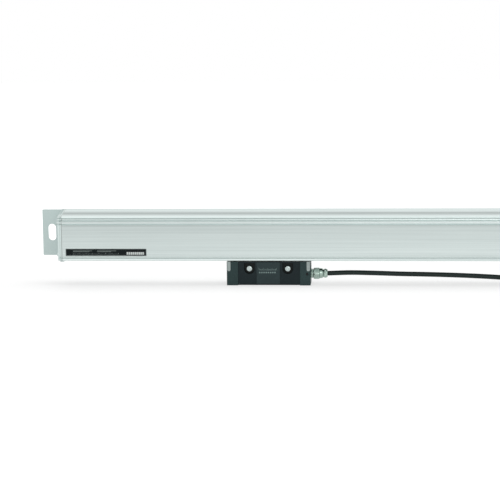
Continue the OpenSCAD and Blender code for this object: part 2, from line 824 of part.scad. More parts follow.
// Plano-convex lens, its round side towards the lamp
module condenser_lens() {
    bulge = 1.6;
    ball_r = (lens_r * lens_r + bulge * bulge) / (2 * bulge);
    color("#cfe4e8") at_carriage() intersection() {
        rod_y(-4.4, -1.4, 0, lens_z, lens_r);
        translate([0, -4.4 + ball_r, lens_z]) sphere(ball_r, $fn = 64);
    }
}
module light_source() {
    color("#d9dde0") at_carriage() {
        rod_y(front_arm_y - 0.9, front_arm_y + 2.4, 0, lens_z, 2.5);
        rod_y(front_arm_y - 2.1, front_arm_y - 1.2, 0, lens_z, 3.2);
        rod_y(front_arm_y - 1.2, front_arm_y - 0.9, 0, lens_z, 2.5);
    }
}
module scanning_reticle() {
    color("#bcd6d4") at_carriage()
        block([-8, 8], [glass_front - 0.9, glass_front - 0.4], [lens_z - lens_r + 0.2, lens_z + lens_r]);
}
module detector_board() {
    color("#1f5a3c") at_carriage()
        block([-14, 14], [board_front, rear_arm_y], [base_top, arm_top]);
}
module photodiodes() {
    color("#2b2f3a") at_carriage() for (x = [-5, -1.7, 1.7, 5], z = [-2, 2])
        block([x - 1.3, x + 1.3], [board_front - 0.6, board_front], [lens_z + z - 1.6, lens_z + z + 1.6]);
}

// Socket head screws, whose ends stand out of the back as mounting studs
module mounting_screws() {
    head_len_y = 4;
    waist_r = screw_r - 0.4;    // a captive screw's shank is thinner than its threaded end
    color("#cfd3d0") at_head() for (side = [-1, 1]) difference() {
        union() {
            rod_y(pocket_seat, head_back, side * screw_pitch / 2, screw_z, waist_r);
            rod_y(head_back, stud_y, side * screw_pitch / 2, screw_z, screw_r);
            rod_y(pocket_seat - head_len_y, pocket_seat, side * screw_pitch / 2, screw_z, screw_head_r);
        }
        rod_y(pocket_seat - head_len_y - cut, pocket_seat - 1.6, side * screw_pitch / 2, screw_z, 1.7, 6);
    }
}

// ---- Cable gland ----

module hex_x(from, to, flats) {
    translate([from, 0, gland_z]) rotate([0, 90, 0]) rotate([0, 0, 30])
        cylinder(h = to - from, r = flats / 2 / cos(30), $fn = 6);
}
module gland_body() {
    color(nickel) at_head() translate([head_end, 0, 0]) difference() {
        union() {
            rod_x(-8, gland_hex_len / 2, 0, gland_z, 4.5);
            hex_x(0, gland_hex_len, nut_af - 2.4);
            rod_x(gland_hex_len / 2, 9, 0, gland_z, 4.2);
        }
        rod_x(-8 - cut, 9 + cut, 0, gland_z, cable_hole_r);
    }
}
module gland_nut() {
    color(nickel) at_head() translate([head_end, 0, 0]) difference() {
        union() {
            intersection() {
                hex_x(nut_from, nut_from + nut_hex_len, nut_af);
                // Rounds the corners of the hex
                translate([nut_from, 0, gland_z]) rotate([0, 90, 0])
                    rotate_extrude($fn = 48) polygon([[0, 0], [nut_af / 2 - 0.3, 0], [nut_af / 2 + 0.9, 1.6],
                        [nut_af / 2 + 0.9, nut_hex_len - 1.2], [nut_af / 2 - 0.1, nut_hex_len], [0, nut_hex_len]]);
            }
            translate([nut_from + nut_hex_len, 0, gland_z]) rotate([0, 90, 0])
                rotate_extrude($fn = 48) polygon(concat([[0, -0.5], [dome_r, -0.5]],
                    arc([dome_r - dome_bend, 0], dome_bend, 0, dome_angle),
                    [[0, dome_bend * sin(dome_angle)]]));
        }
        rod_x(nut_from - cut, 9.1, 0, gland_z, 4.2 + snug);
        rod_x(9, nut_to + cut, 0, gland_z, cable_hole_r);
        rod_x(9.05, 12.6, 0, gland_z, 4.2 + snug);
    }
}
module gland_seal() {
    color(rubber) at_head() translate([head_end, 0, 0]) difference() {
        rod_x(9.1, 12.5, 0, gland_z, 4.2);
        rod_x(9, 13, 0, gland_z, cable_d / 2 + 0.1);
    }
}
module gland_collar() {
    from = nut_to + seat;
    color(nickel) at_head() translate([head_end, 0, 0]) difference() {
        union() {
            rod_x(from, gland_end - 0.6, 0, gland_z, collar_r - 0.7);
            rod_x(from + 1.2, gland_end - 1.2, 0, gland_z, collar_r);
            rod_x(gland_end - 1.2, gland_end, 0, gland_z, collar_r - 0.5);
        }
        rod_x(from - cut, gland_end + cut, 0, gland_z, cable_hole_r);
    }
}
module gland_lock_screw() {
    color("#2a3030") at_head() difference() {
        rod_y(0.5 - head_front, -6, head_end - 4, gland_z + 1.3, 1.5);
        rod_y(-head_front, 2 - head_front, head_end - 4, gland_z + 1.3, 0.8, 6);
    }
}

// ---- Cable, hank and plug ----

function unit(v) = v / norm(v);
function along(p, i) = unit(p[min(i + 1, len(p) - 1)] - p[max(i - 1, 0)]);
// A ring of points square to the route at one of its points
function ring(p, i, r) =
    let(t = along(p, i), s = unit(cross([0, 0, 1], t)), u = cross(t, s))
    [for (k = [0:cable_sides - 1]) let(a = 360 * k / cable_sides) p[i] + r * (s * cos(a) + u * sin(a))];

// Point on a smooth curve through four route points
function blend(a, b, c, d, t) =
    0.5 * (2 * b + (c - a) * t + (2 * a - 5 * b + 4 * c - d) * t * t + (3 * b - a - 3 * c + d) * t * t * t);
function smooth(p) = concat([for (i = [0:len(p) - 2], t = [0, 0.5])
    blend(p[max(i - 1, 0)], p[i], p[i + 1], p[min(i + 2, len(p) - 1)], t)], [p[len(p) - 1]]);

module tube(points, r) {
    p = smooth(points);
    n = len(p);
    m = cable_sides;
    polyhedron(
        points = [for (i = [0:n - 1]) each ring(p, i, r)],
        faces = concat(
            [[for (k = [0:m - 1]) k]],
            [for (i = [0:n - 2], k = [0:m - 1])
                [i * m + k, (i + 1) * m + k, (i + 1) * m + (k + 1) % m, i * m + (k + 1) % m]],
            [[for (k = [m - 1:-1:0]) (n - 1) * m + k]]));
}

module cable() {
    color(rubber) translate([exit_x, 0, 0]) tube(route, cable_d / 2);
}
module cable_tail() {
    color(rubber) translate([exit_x, 0, 0]) tube(tail, cable_d / 2);
}

// Half the hank's width at a distance from its middle: pinched at the tie, full at the folds
function hank_half(x) = let(full = fold_r[1] + cable_d / 2, pinch = (1 + cos(360 * x / hank_run)) / 2)
    full - (full - hank_waist) * pinch;
module cable_hank() {
    full = fold_r[1] + cable_d / 2;
    steps = 12;
    side = [for (i = [0:steps]) let(x = hank_run * (i / steps - 0.5)) [x, hank_half(x)]];
    color(rubber) translate([exit_x + hank_x, 0, 0]) difference() {
        linear_extrude(hank_h) polygon(concat(
            [for (p = side) [p[0], -p[1]]],
            arc([hank_run / 2, 0], full, -80, 80),
            [for (i = [steps:-1:0]) side[i]],
            arc([-hank_run / 2, 0], full, 100, 260)));
        tie_band(tie_w / 2 + 0.2, 0.2);
    }
}
// Strap round the hank's waist
module tie_band(half, room) {
    outer = hank_waist + tie_t;
    difference() {
        block([-half, half], [-outer - 8, outer + 8], [-cut, hank_h + cut]);
        block([-half - cut, half + cut], [-hank_waist, hank_waist], [tie_t + room, hank_h + 2 * cut]);
    }
}
module hank_tie() {
    outer = hank_waist + tie_t;
    color("#2c3033") translate([exit_x + hank_x, 0, 0]) difference() {
        block([-tie_w / 2, tie_w / 2], [-outer, outer], [0, hank_h + 2 * tie_t]);
        block([-tie_w / 2 - cut, tie_w / 2 + cut], [-hank_waist, hank_waist], [tie_t, hank_h + tie_t]);
    }
}

module plug_boot() {
    color(rubber) translate([exit_x + plug_x, plug_y, hood_z]) rotate([0, 90, 0]) difference() {
        rotate_extrude() polygon([[0, 0], [boot_r - 1, 0], [boot_r, boot_len], [boot_r, boot_len + 4], [0, boot_len + 4]]);
        translate([0, 0, -cut]) cylinder(h = 5, r = cable_d / 2 + snug);
    }
}

// Outline of the hood from above: narrow at the cable, full width at the shell.
module hood_outline() {
    polygon([[0, -hood_rear_w / 2], [hood_shoulder - 4, -hood_rear_w / 2], [hood_shoulder, -hood_rear_w / 2 - 0.6],
        [hood_shoulder, -hood_w / 2 + edge], [hood_shoulder + edge, -hood_w / 2], [hood_len, -hood_w / 2],
        [hood_len, hood_w / 2], [hood_shoulder + edge, hood_w / 2], [hood_shoulder, hood_w / 2 - edge],
        [hood_shoulder, hood_rear_w / 2 + 0.6], [hood_shoulder - 4, hood_rear_w / 2], [0, hood_rear_w / 2]]);
}
module hood_half(from, to) {
    color("#b9bdbb") translate([hood_x, plug_y, 0]) difference() {
        translate([0, 0, from]) linear_extrude(to - from) hood_outline();
        // Room for the boot's collar, the contacts and the thumbscrews
        rod_x(-cut, 4.1, 0, hood_z, boot_r + seat);
        block([6, hood_len - 6], [-6, 6], [2, hood_t - 2]);
        block([hood_len - 6 - cut, hood_len + cut], [-mate_w / 2 + 0.6, mate_w / 2 - 0.6],
            [hood_z - mate_h / 2 + 0.5, hood_z + mate_h / 2 - 0.5]);
        for (side = [-1, 1])
            rod_x(hood_shoulder - cut, hood_len + cut, side * thumb_pitch / 2, hood_z, thumb_r + pin_fit);
        for (side = [-1, 1]) translate([hood_screw_x, side * hood_screw_y, 0]) {
            translate([0, 0, -cut]) cylinder(h = hood_z + cut, r = hood_screw_r + loose);
            translate([0, 0, -cut]) cylinder(h = 2 + cut, r = 2.1);
            cylinder(h = hood_t - 2.5, r = hood_screw_r + snug);
        }
    }
}
module hood_lower() {
    hood_half(0, hood_z - 0.01);
}
module hood_upper() {
    hood_half(hood_z + 0.01, hood_t);
}
module hood_screws() {
    color(steel) translate([hood_x, plug_y, 0]) for (side = [-1, 1])
        translate([hood_screw_x, side * hood_screw_y, 0]) difference() {
            union() {
                translate([0, 0, 0.6]) cylinder(h = 1.4, r = 1.9);
                translate([0, 0, 1.5]) cylinder(h = hood_t - 4.5, r = hood_screw_r);
            }
            translate([0, 0, -cut]) cylinder(h = 2.2, r = 0.9, $fn = 6);
        }
}
module plug_shell() {
    color(nickel) translate([hood_x + hood_len, plug_y, hood_z]) difference() {
        union() {
            block([0, shell_t], [-shell_w / 2, shell_w / 2], [-shell_h / 2, shell_h / 2]);
            rotate([90, 0, 90]) linear_extrude(mate_len) mate_outline(0);
        }
        translate([-cut, 0, 0]) rotate([90, 0, 90]) linear_extrude(mate_len + 2 * cut) mate_outline(0.7);
        for (side = [-1, 1]) rod_x(-cut, shell_t + cut, side * thumb_pitch / 2, 0, thumb_r + pin_fit);
    }
}
// The shell's D shape, wider at the top
module mate_outline(inset) {
    w = mate_w / 2 - inset;
    h = mate_h / 2 - inset;
    polygon([[-w + 2.4, -h], [w - 2.4, -h], [w - 1.4, -h + 1], [w, h - 1], [w - 1, h], [-w + 1, h],
        [-w, h - 1], [-w + 1.4, -h + 1]]);
}
module plug_insert() {
    color("#20262b") translate([hood_x + hood_len - 4, plug_y, hood_z]) difference() {
        rotate([90, 0, 90]) linear_extrude(6) mate_outline(0.75);
        contact_places() rod_x(-cut, 8, 0, 0, 0.5 + snug, 16);
    }
}
module contact_places() {
    for (i = [-2:2]) translate([0, i * 2.75, 1.4]) children();
    for (i = [-1.5:1.5]) translate([0, i * 2.75, -1.4]) children();
}
module plug_contacts() {
    color("#d8b45a") translate([hood_x + hood_len - 4, plug_y, hood_z])
        contact_places() rod_x(-3, 9, 0, 0, 0.5, 16);
}
module thumbscrew(side) {
    grip = hood_shoulder - 0.5 - thumb_head_len;
    color("#c7cbc9") translate([hood_x, plug_y + side * thumb_pitch / 2, 0]) difference() {
        union() {
            rod_x(grip, grip + thumb_head_len, 0, hood_z, thumb_head_r);
            rod_x(grip + thumb_head_len, hood_len + thumb_out, 0, hood_z, thumb_r);
        }
        block([grip - cut, grip + 1.2], [-thumb_head_r - cut, thumb_head_r + cut], [hood_z - 0.5, hood_z + 0.5]);
    }
}
module thumbscrew_front() {
    thumbscrew(-1);
}
module thumbscrew_rear() {
    thumbscrew(1);
}

housing();
glass_scale();
scale_cushion();
lip_seal_front();
lip_seal_rear();
end_gasket_left();
end_gasket_right();
end_cap_left();
end_cap_right();
bracket_left();
bracket_right();
end_screws_left();
end_screws_right();
type_label();
head_body();
head_cover_left();
head_cover_right();
cover_screws();
head_board();
board_parts();
blade_plate();
plate_screws();
blade();
blade_holder();
coupling_rod();
carriage();
roller_pins();
face_roller_left();
face_roller_middle();
face_roller_right();
edge_roller_left();
edge_roller_right();
condenser_lens();
light_source();
scanning_reticle();
detector_board();
photodiodes();
mounting_screws();
gland_body();
gland_nut();
gland_seal();
gland_collar();
gland_lock_screw();
cable();
cable_hank();
hank_tie();
cable_tail();
plug_boot();
hood_lower();
hood_upper();
hood_screws();
plug_shell();
plug_insert();
plug_contacts();
thumbscrew_front();
thumbscrew_rear();
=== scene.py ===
# Looks of a sealed linear encoder: long slotted housing on a scanning head, with its cable, hank and plug.
import json
import math
import bmesh
import bpy
import numpy as np
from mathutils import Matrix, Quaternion, Vector


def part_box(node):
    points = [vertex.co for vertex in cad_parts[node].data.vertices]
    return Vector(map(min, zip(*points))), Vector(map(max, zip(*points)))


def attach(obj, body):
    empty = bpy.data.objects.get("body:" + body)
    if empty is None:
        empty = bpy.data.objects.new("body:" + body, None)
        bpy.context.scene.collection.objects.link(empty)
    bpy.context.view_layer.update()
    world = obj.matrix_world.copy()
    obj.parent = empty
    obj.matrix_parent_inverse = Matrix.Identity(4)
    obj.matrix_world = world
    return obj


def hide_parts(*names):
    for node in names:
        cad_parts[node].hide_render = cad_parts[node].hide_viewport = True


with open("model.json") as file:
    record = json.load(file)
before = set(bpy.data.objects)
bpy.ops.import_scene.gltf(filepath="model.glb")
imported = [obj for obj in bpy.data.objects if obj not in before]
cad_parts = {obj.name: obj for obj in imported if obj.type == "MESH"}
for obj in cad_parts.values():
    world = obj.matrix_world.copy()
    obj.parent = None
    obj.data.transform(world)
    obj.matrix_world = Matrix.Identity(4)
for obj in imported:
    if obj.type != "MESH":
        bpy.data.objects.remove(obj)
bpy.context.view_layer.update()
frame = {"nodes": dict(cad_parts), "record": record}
mm = 0.001
nodes = frame["nodes"]

# ---- Camera ----
print("camera")
cameraSet = {
    "azimuth": 4.42,            # degrees round the object from its front
    "elevation": 8.70,          # degrees above the floor
    "roll": -0.64,              # degrees, clockwise
    "fieldOfView": 18.0,        # degrees
    "distance": 1.818,          # metres to the target
    "target": (-0.0527, 0.0, 0.0389),
    "seesFrom": 0.05, "seesTo": 50,     # metres
}


def placeCamera(settings):
    # From the target back along the direction that the two angles give, looking at the target
    turn, lift = math.radians(settings["azimuth"]), math.radians(settings["elevation"])
    back = Vector((math.sin(turn) * math.cos(lift), -math.cos(turn) * math.cos(lift), math.sin(lift)))
    data = bpy.data.cameras.new("camera")
    data.angle = math.radians(settings["fieldOfView"])
    data.clip_start, data.clip_end = settings["seesFrom"], settings["seesTo"]
    camera = bpy.data.objects.new("camera", data)
    bpy.context.scene.collection.objects.link(camera)
    camera.location = Vector(settings["target"]) + back * settings["distance"]
    camera.rotation_mode = "QUATERNION"
    level = (-back).to_track_quat("-Z", "Y")
    camera.rotation_quaternion = level @ Quaternion((0, 0, 1), math.radians(settings["roll"]))
    bpy.context.scene.camera = camera


placeCamera(cameraSet)

# ---- Signal cable ----
print("cable")
cableSet = {
    "diameter": 5.5,            # millimetres, as every length here
    "startInGland": 8.0,        # how far the cable is laid bare inside the gland
    "folds": 8,                 # turns of the hank, each with its fold's radius and its layer
    "foldRadii": [23.0, 17.5, 17.5, 23.0, 23.0, 17.5, 17.5, 23.0],
    "foldLevels": [0, 0, 1, 1, 2, 2, 3, 3],
    "run": 110.0,               # straight part of the hank between its folds
    "middle": 356.0,            # from the gland's mouth to the hank's middle
    "pinch": 14.75,             # how far the tie draws each strand towards the middle
    "stepWindow": 1.145,        # sections of a turn over which a strand steps to its next place
    "stepShift": 0.309,         # how much earlier each later strand steps
    "lift": 1.05,               # how far the strap under it raises the hank at the tie
    "liftFrom": 12.0, "liftTo": 34.0,   # from the tie, where a strand starts and ends to sink off the strap
    "sides": 14,                # corners round the cable
}
exitPoint = Vector((0.0365, 0.0, 0.012))
# The way to the hank and the way from it to the plug: along X from the gland's mouth, Y, and height
cableRoute = np.array([
    [-20, 0, 12], [0, 0, 12], [12, 0, 12.4], [28, 0, 12.8], [54, 0, 12.3], [83, 0, 11.4], [112, 0, 10.9],
    [141, -1, 10.3], [166, -2.5, 9.6], [188, -4.5, 8.8], [208, -7, 7.8], [228, -10.4, 6.5], [248, -14.4, 5],
    [268, -18.6, 3.6], [286, -21.8, 2.9], [301, -23, 2.75]])
cableTail = np.array([
    [411, -23, 19.25], [420, -22.8, 19.1], [429, -21.4, 17.7], [438, -18.8, 14.8], [447, -15.5, 11.6],
    [456, -12.3, 9.1], [465, -9.7, 7.8], [474, -8.3, 7.5], [486, -8, 7.5]])


def smoothLine(points, perSpan=6):
    # Catmull-Rom curve: between two points each place is a cubic mix of them and their two neighbours
    padded = np.vstack([2 * points[0] - points[1], points, 2 * points[-1] - points[-2]])
    a, b, c, d = padded[:-3, None], padded[1:-2, None], padded[2:-1, None], padded[3:, None]
    t = (np.arange(perSpan) / perSpan)[None, :, None]
    line = 0.5 * (2 * b + (c - a) * t + (2 * a - 5 * b + 4 * c - d) * t**2 + (3 * b - a - 3 * c + d) * t**3)
    return np.vstack([line.reshape(-1, 3), points[-1]])


def hankLine(settings, perSection=16):
    # Each turn is a near run, a fold, a far run and a fold. Where a strand steps to the next place, its
    # radius and height go over by half a cosine wave. On the runs a cosine draws the strands in at the tie.
    # Away from the tie they sink off the strap by a smooth step: three times a square less twice a cube.
    radii, levels = np.array(settings["foldRadii"]), np.array(settings["foldLevels"], float)
    last = settings["folds"] - 1
    along = np.linspace(0, 4 * last + 1, (4 * last + 1) * perSection + 1)
    turn = np.minimum(along // 4, last).astype(int)
    share = along - 4 * turn
    begin = 1 + (last - 1 - turn) * settings["stepShift"]
    step = (1 - np.cos(np.pi * np.clip((share - begin) / settings["stepWindow"], 0, 1))) / 2
    step = np.where(turn == last, 0, step)
    following = np.minimum(turn + 1, last)
    radius = (1 - step) * radii[turn] + step * radii[following]
    level = (1 - step) * levels[turn] + step * levels[following]
    section = np.where((turn == last) | (share < 1), 0, np.minimum(share.astype(int), 3))
    part = share - section
    runX = settings["run"] * (part - 0.5)
    runY = radius - settings["pinch"] * (1 + np.cos(2 * np.pi * runX / settings["run"])) / 2
    half = settings["run"] / 2
    cases = [section == i for i in range(4)]
    x = np.select(cases, [runX, half + radius * np.sin(np.pi * part), -runX,
                          -half - radius * np.sin(np.pi * part)])
    y = np.select(cases, [-runY, -radius * np.cos(np.pi * part), runY, radius * np.cos(np.pi * part)])
    near, far = settings["liftFrom"], settings["liftTo"]
    away = np.clip((np.abs(x) - near) / (far - near), 0, 1)
    raised = settings["lift"] * (1 - 3 * away**2 + 2 * away**3)
    size = settings["diameter"]
    return np.stack([x + settings["middle"], y, size / 2 + size * level + raised], 1)


def cableLine(settings):
    # The lead, the hank and the tail one after the other, from inside the gland to inside the plug, in metres
    lead = smoothLine(cableRoute)
    lead = lead[lead[:, 0] >= -settings["startInGland"]]
    line = np.vstack([lead, hankLine(settings)[1:], smoothLine(cableTail)[1:]])
    return line * mm + np.array([exitPoint.x, 0, 0])


def tubeGrid(line, radius, sides):
    # A circle square to the line at each of its points, and a point at each end to close it. The circle's
    # first corner is turned by a quarter of a side, so that strands that touch share no corner.
    along = np.gradient(line, axis=0)
    along /= np.linalg.norm(along, axis=1)[:, None]
    side = np.cross([0, 0, 1], along)
    side /= np.linalg.norm(side, axis=1)[:, None]
    angle = (2 * np.pi * (np.arange(sides) + 0.25) / sides)[None, :, None]
    upright = np.cross(along, side)
    rings = line[:, None] + radius * (side[:, None] * np.cos(angle) + upright[:, None] * np.sin(angle))
    ends = [np.repeat(line[i][None, None], sides, 1) for i in (0, -1)]
    return np.vstack([ends[0], rings, ends[1]])


# ---- Materials ----
print("materials")


def linear(hexText):
    # sRGB hex to linear: the darkest values over 12.92, the others by the standard's power of 2.4
    value = np.array([int(hexText[i:i + 2], 16) / 255 for i in (1, 3, 5)])
    value = np.where(value <= 0.04045, value / 12.92, ((value + 0.055) / 1.055) ** 2.4)
    return (*value.tolist(), 1.0)


def addNode(tree, kind, links=None, values=None, **settings):
    # One node: its properties, its sockets' values, and the outputs that feed its sockets
    node = tree.nodes.new(kind)
    for key, value in settings.items():
        setattr(node, key, value)
    for key, value in (values or {}).items():
        node.inputs[key].default_value = value
    for key, output in (links or {}).items():
        tree.links.new(output, node.inputs[key])
    return node


def startFinish(name):
    # A material with an empty tree, and the output that gives each point's place in the piece
    material = bpy.data.materials.new(name)
    material.use_nodes = True
    material.node_tree.nodes.clear()
    tree = material.node_tree
    return material, tree, addNode(tree, "ShaderNodeTexCoord").outputs["Object"]


def endFinish(tree, links, values):
    # One surface with what feeds its sockets and its constant values
    shader = addNode(tree, "ShaderNodeBsdfPrincipled", links, values)
    addNode(tree, "ShaderNodeOutputMaterial", {"Surface": shader.outputs[0]})


noiseRange = (0.32, 0.68)       # nearly all of a noise lies in it


def grainFinish(name, light, dark, rough, grain, relief, metallic=0.0, stretch=(1, 1, 1), patch=40.0,
                grainShare=0.6, tint=None, **sockets):
    # A fine grain and broad patches, both so many millimetres wide, move the colour between two tones and the
    # roughness between two values. The grain is also the bump, with its relief in millimetres. A small
    # stretch value makes lines on that axis. A tint is a colour and the function that says where it lies.
    material, tree, place = startFinish(name)
    drawn = addNode(tree, "ShaderNodeMapping", {"Vector": place}, {"Scale": stretch}).outputs[0]
    fine = addNode(tree, "ShaderNodeTexNoise", {"Vector": drawn},
                   {"Scale": 1 / (grain * mm), "Detail": 3.0, "Roughness": 0.6}).outputs["Fac"]
    broad = addNode(tree, "ShaderNodeTexNoise", {"Vector": place},
                    {"Scale": 1 / (patch * mm), "Detail": 2.0}).outputs["Fac"]
    both = addNode(tree, "ShaderNodeMix", {"A": fine, "B": broad}, {"Factor": 1 - grainShare}).outputs[0]
    spread = addNode(tree, "ShaderNodeMapRange", {"Value": both},
                     {"From Min": noiseRange[0], "From Max": noiseRange[1]}).outputs[0]
    colour = addNode(tree, "ShaderNodeMix", {0: spread}, {6: linear(dark), 7: linear(light)},
                     data_type="RGBA")
    if tint:
        colour = addNode(tree, "ShaderNodeMix", {0: tint[1](tree, place), 6: colour.outputs[2]},
                         {7: linear(tint[0])}, data_type="RGBA")
    roughness = addNode(tree, "ShaderNodeMapRange", {"Value": spread},
                        {"To Min": rough[0], "To Max": rough[1]})
    bump = addNode(tree, "ShaderNodeBump", {"Height": fine}, {"Distance": relief * mm, "Strength": 0.6})
    endFinish(tree, {"Base Color": colour.outputs[2], "Roughness": roughness.outputs[0],
                     "Normal": bump.outputs[0]}, {"Metallic": metallic, **sockets})
    return material


frontHighlightSet = {"startsAt": -2.0, "fullAt": -12.0}     # Y over which the painted highlight on the bracket's front flange rises


def paintedFrontHighlight(tree, place):
    # Painted highlight: rises evenly from nothing to full towards the front
    depth = addNode(tree, "ShaderNodeSeparateXYZ", {"Vector": place}).outputs["Y"]
    return addNode(tree, "ShaderNodeMapRange", {"Value": depth},
                   {"From Min": frontHighlightSet["startsAt"] * mm, "From Max": frontHighlightSet["fullAt"] * mm}).outputs[0]


# Where the painted shade in the screw pockets lies
pocketSet = {
    "x": -30.5, "z": 19.5,      # between the two mounting screws
    "pitch": 44.0,
    "radius": 6.1,
    "top": 26.0, "front": -8.0,     # the pockets reach no higher and no farther back
}


def paintedPocketShade(tree, place):
    # Painted shade inside a U round each mounting screw: the distance from its axis, counted only sideways
    # above it
    axes = addNode(tree, "ShaderNodeSeparateXYZ", {"Vector": place})
    shift = addNode(tree, "ShaderNodeMath", {0: axes.outputs["X"]}, {1: pocketSet["x"] * mm},
                    operation="SUBTRACT")
    side = addNode(tree, "ShaderNodeMath", {0: shift.outputs[0]}, operation="ABSOLUTE")
    across = addNode(tree, "ShaderNodeMath", {0: side.outputs[0]}, {1: pocketSet["pitch"] / 2 * mm},
                     operation="SUBTRACT")
    over = addNode(tree, "ShaderNodeMath", {0: axes.outputs["Z"]}, {1: pocketSet["z"] * mm},
                   operation="SUBTRACT")
    below = addNode(tree, "ShaderNodeMath", {0: over.outputs[0]}, {1: 0.0}, operation="MINIMUM")
    away = addNode(tree, "ShaderNodeCombineXYZ", {"X": across.outputs[0], "Y": below.outputs[0]})
    length = addNode(tree, "ShaderNodeVectorMath", {0: away.outputs[0]}, operation="LENGTH").outputs["Value"]
    inside = addNode(tree, "ShaderNodeMath", {0: length}, {1: pocketSet["radius"] * mm},
                     operation="LESS_THAN")
    under = addNode(tree, "ShaderNodeMath", {0: axes.outputs["Z"]}, {1: pocketSet["top"] * mm},
                    operation="LESS_THAN")
    ahead = addNode(tree, "ShaderNodeMath", {0: axes.outputs["Y"]}, {1: pocketSet["front"] * mm},
                    operation="LESS_THAN")
    both = addNode(tree, "ShaderNodeMath", {0: inside.outputs[0], 1: under.outputs[0]}, operation="MULTIPLY")
    return addNode(tree, "ShaderNodeMath", {0: both.outputs[0], 1: ahead.outputs[0]},
                   operation="MULTIPLY").outputs[0]


extrusionSet = {
    "light": "#f3fefc", "dark": "#dfebe9",
    "rough": (0.30, 0.42),
    "lineWidth": 1.4, "relief": 0.012, "patch": 71.43,      # millimetres
    "stretch": (0.004, 1, 1),   # lines along X
    "noiseRange": (0.3, 0.7),
    # Height and how much of the full tone is left there: painted shade and painted highlight, darker in the
    # grooves and along the roof's middle and lighter on the edges, on the front, up over the groove, bead,
    # cove and ridge, and back along the roof
    "paintedShading": [(29, 0.85), (31.3, 0.85), (31.7, 0.716), (33.2, 0.716), (34.2, 0.745), (35.4, 0.725),
              (45, 0.70), (64, 0.61), (67.4, 0.635), (68.6, 0.555), (70.3, 0.537), (70.8, 0.86),
              (72.2, 0.86), (72.9, 0.71), (74.0, 0.67), (75.1, 0.93), (75.7, 0.90), (76.3, 0.77),
              (76.9, 0.61), (77.5, 0.61), (78.0, 0.75), (78.7, 0.84), (79.2, 0.94), (80.1, 0.96),
              (80.6, 0.86), (81.25, 0.68), (81.85, 0.59), (82.45, 0.49), (83.05, 0.70), (83.6, 0.80),
              (84.2, 0.88), (85, 0.82)],
}


def extrudedFinish(name, settings):
    # Clear anodised extrusion: a soft satin sheen with drawn lines along the length, made by a noise that is
    # stretched along X and drawn coarser than the die's own lines, so that it shows. Bands over the height
    # carry
    # painted shade and painted highlight: darker in the grooves and lighter on the edges.
    material, tree, place = startFinish(name)
    drawn = addNode(tree, "ShaderNodeMapping", {"Vector": place}, {"Scale": settings["stretch"]}).outputs[0]
    lines = addNode(tree, "ShaderNodeTexNoise", {"Vector": drawn},
                    {"Scale": 1 / (settings["lineWidth"] * mm), "Detail": 4.0,
                     "Roughness": 0.7}).outputs["Fac"]
    cloud = addNode(tree, "ShaderNodeTexNoise", {"Vector": place},
                    {"Scale": 1 / (settings["patch"] * mm), "Detail": 2.0}).outputs["Fac"]
    least, most = settings["noiseRange"]
    spread = addNode(tree, "ShaderNodeMapRange", {"Value": lines},
                     {"From Min": least, "From Max": most}).outputs[0]
    tone = addNode(tree, "ShaderNodeMix", {0: spread},
                   {6: linear(settings["dark"]), 7: linear(settings["light"])}, data_type="RGBA").outputs[2]
    axes = addNode(tree, "ShaderNodeSeparateXYZ", {"Vector": place})
    low, high = settings["paintedShading"][0][0], settings["paintedShading"][-1][0]
    height = addNode(tree, "ShaderNodeMapRange", {"Value": axes.outputs["Z"]},
                     {"From Min": low * mm, "From Max": high * mm}).outputs[0]
    # Painted shade and painted highlight: a ramp over the height darkens the grooves and lightens the edges
    paintedShading = addNode(tree, "ShaderNodeValToRGB", {"Fac": height})
    stops = paintedShading.color_ramp.elements
    while len(stops) < len(settings["paintedShading"]):
        stops.new(1.0)
    for stop, (z, share) in zip(stops, settings["paintedShading"]):
        stop.position, stop.color = (z - low) / (high - low), (share, share, share, 1)
    colour = addNode(tree, "ShaderNodeMix", {6: tone, 7: paintedShading.outputs[0]}, {0: 1.0}, data_type="RGBA",
                     blend_type="MULTIPLY").outputs[2]
    rough = addNode(tree, "ShaderNodeMapRange", {"Value": cloud},
                    {"To Min": settings["rough"][0], "To Max": settings["rough"][1]}).outputs[0]
    bump = addNode(tree, "ShaderNodeBump", {"Height": lines},
                   {"Distance": settings["relief"] * mm, "Strength": 0.6}).outputs[0]
    endFinish(tree, {"Base Color": colour, "Roughness": rough, "Normal": bump}, {"Metallic": 1.0})
    return material


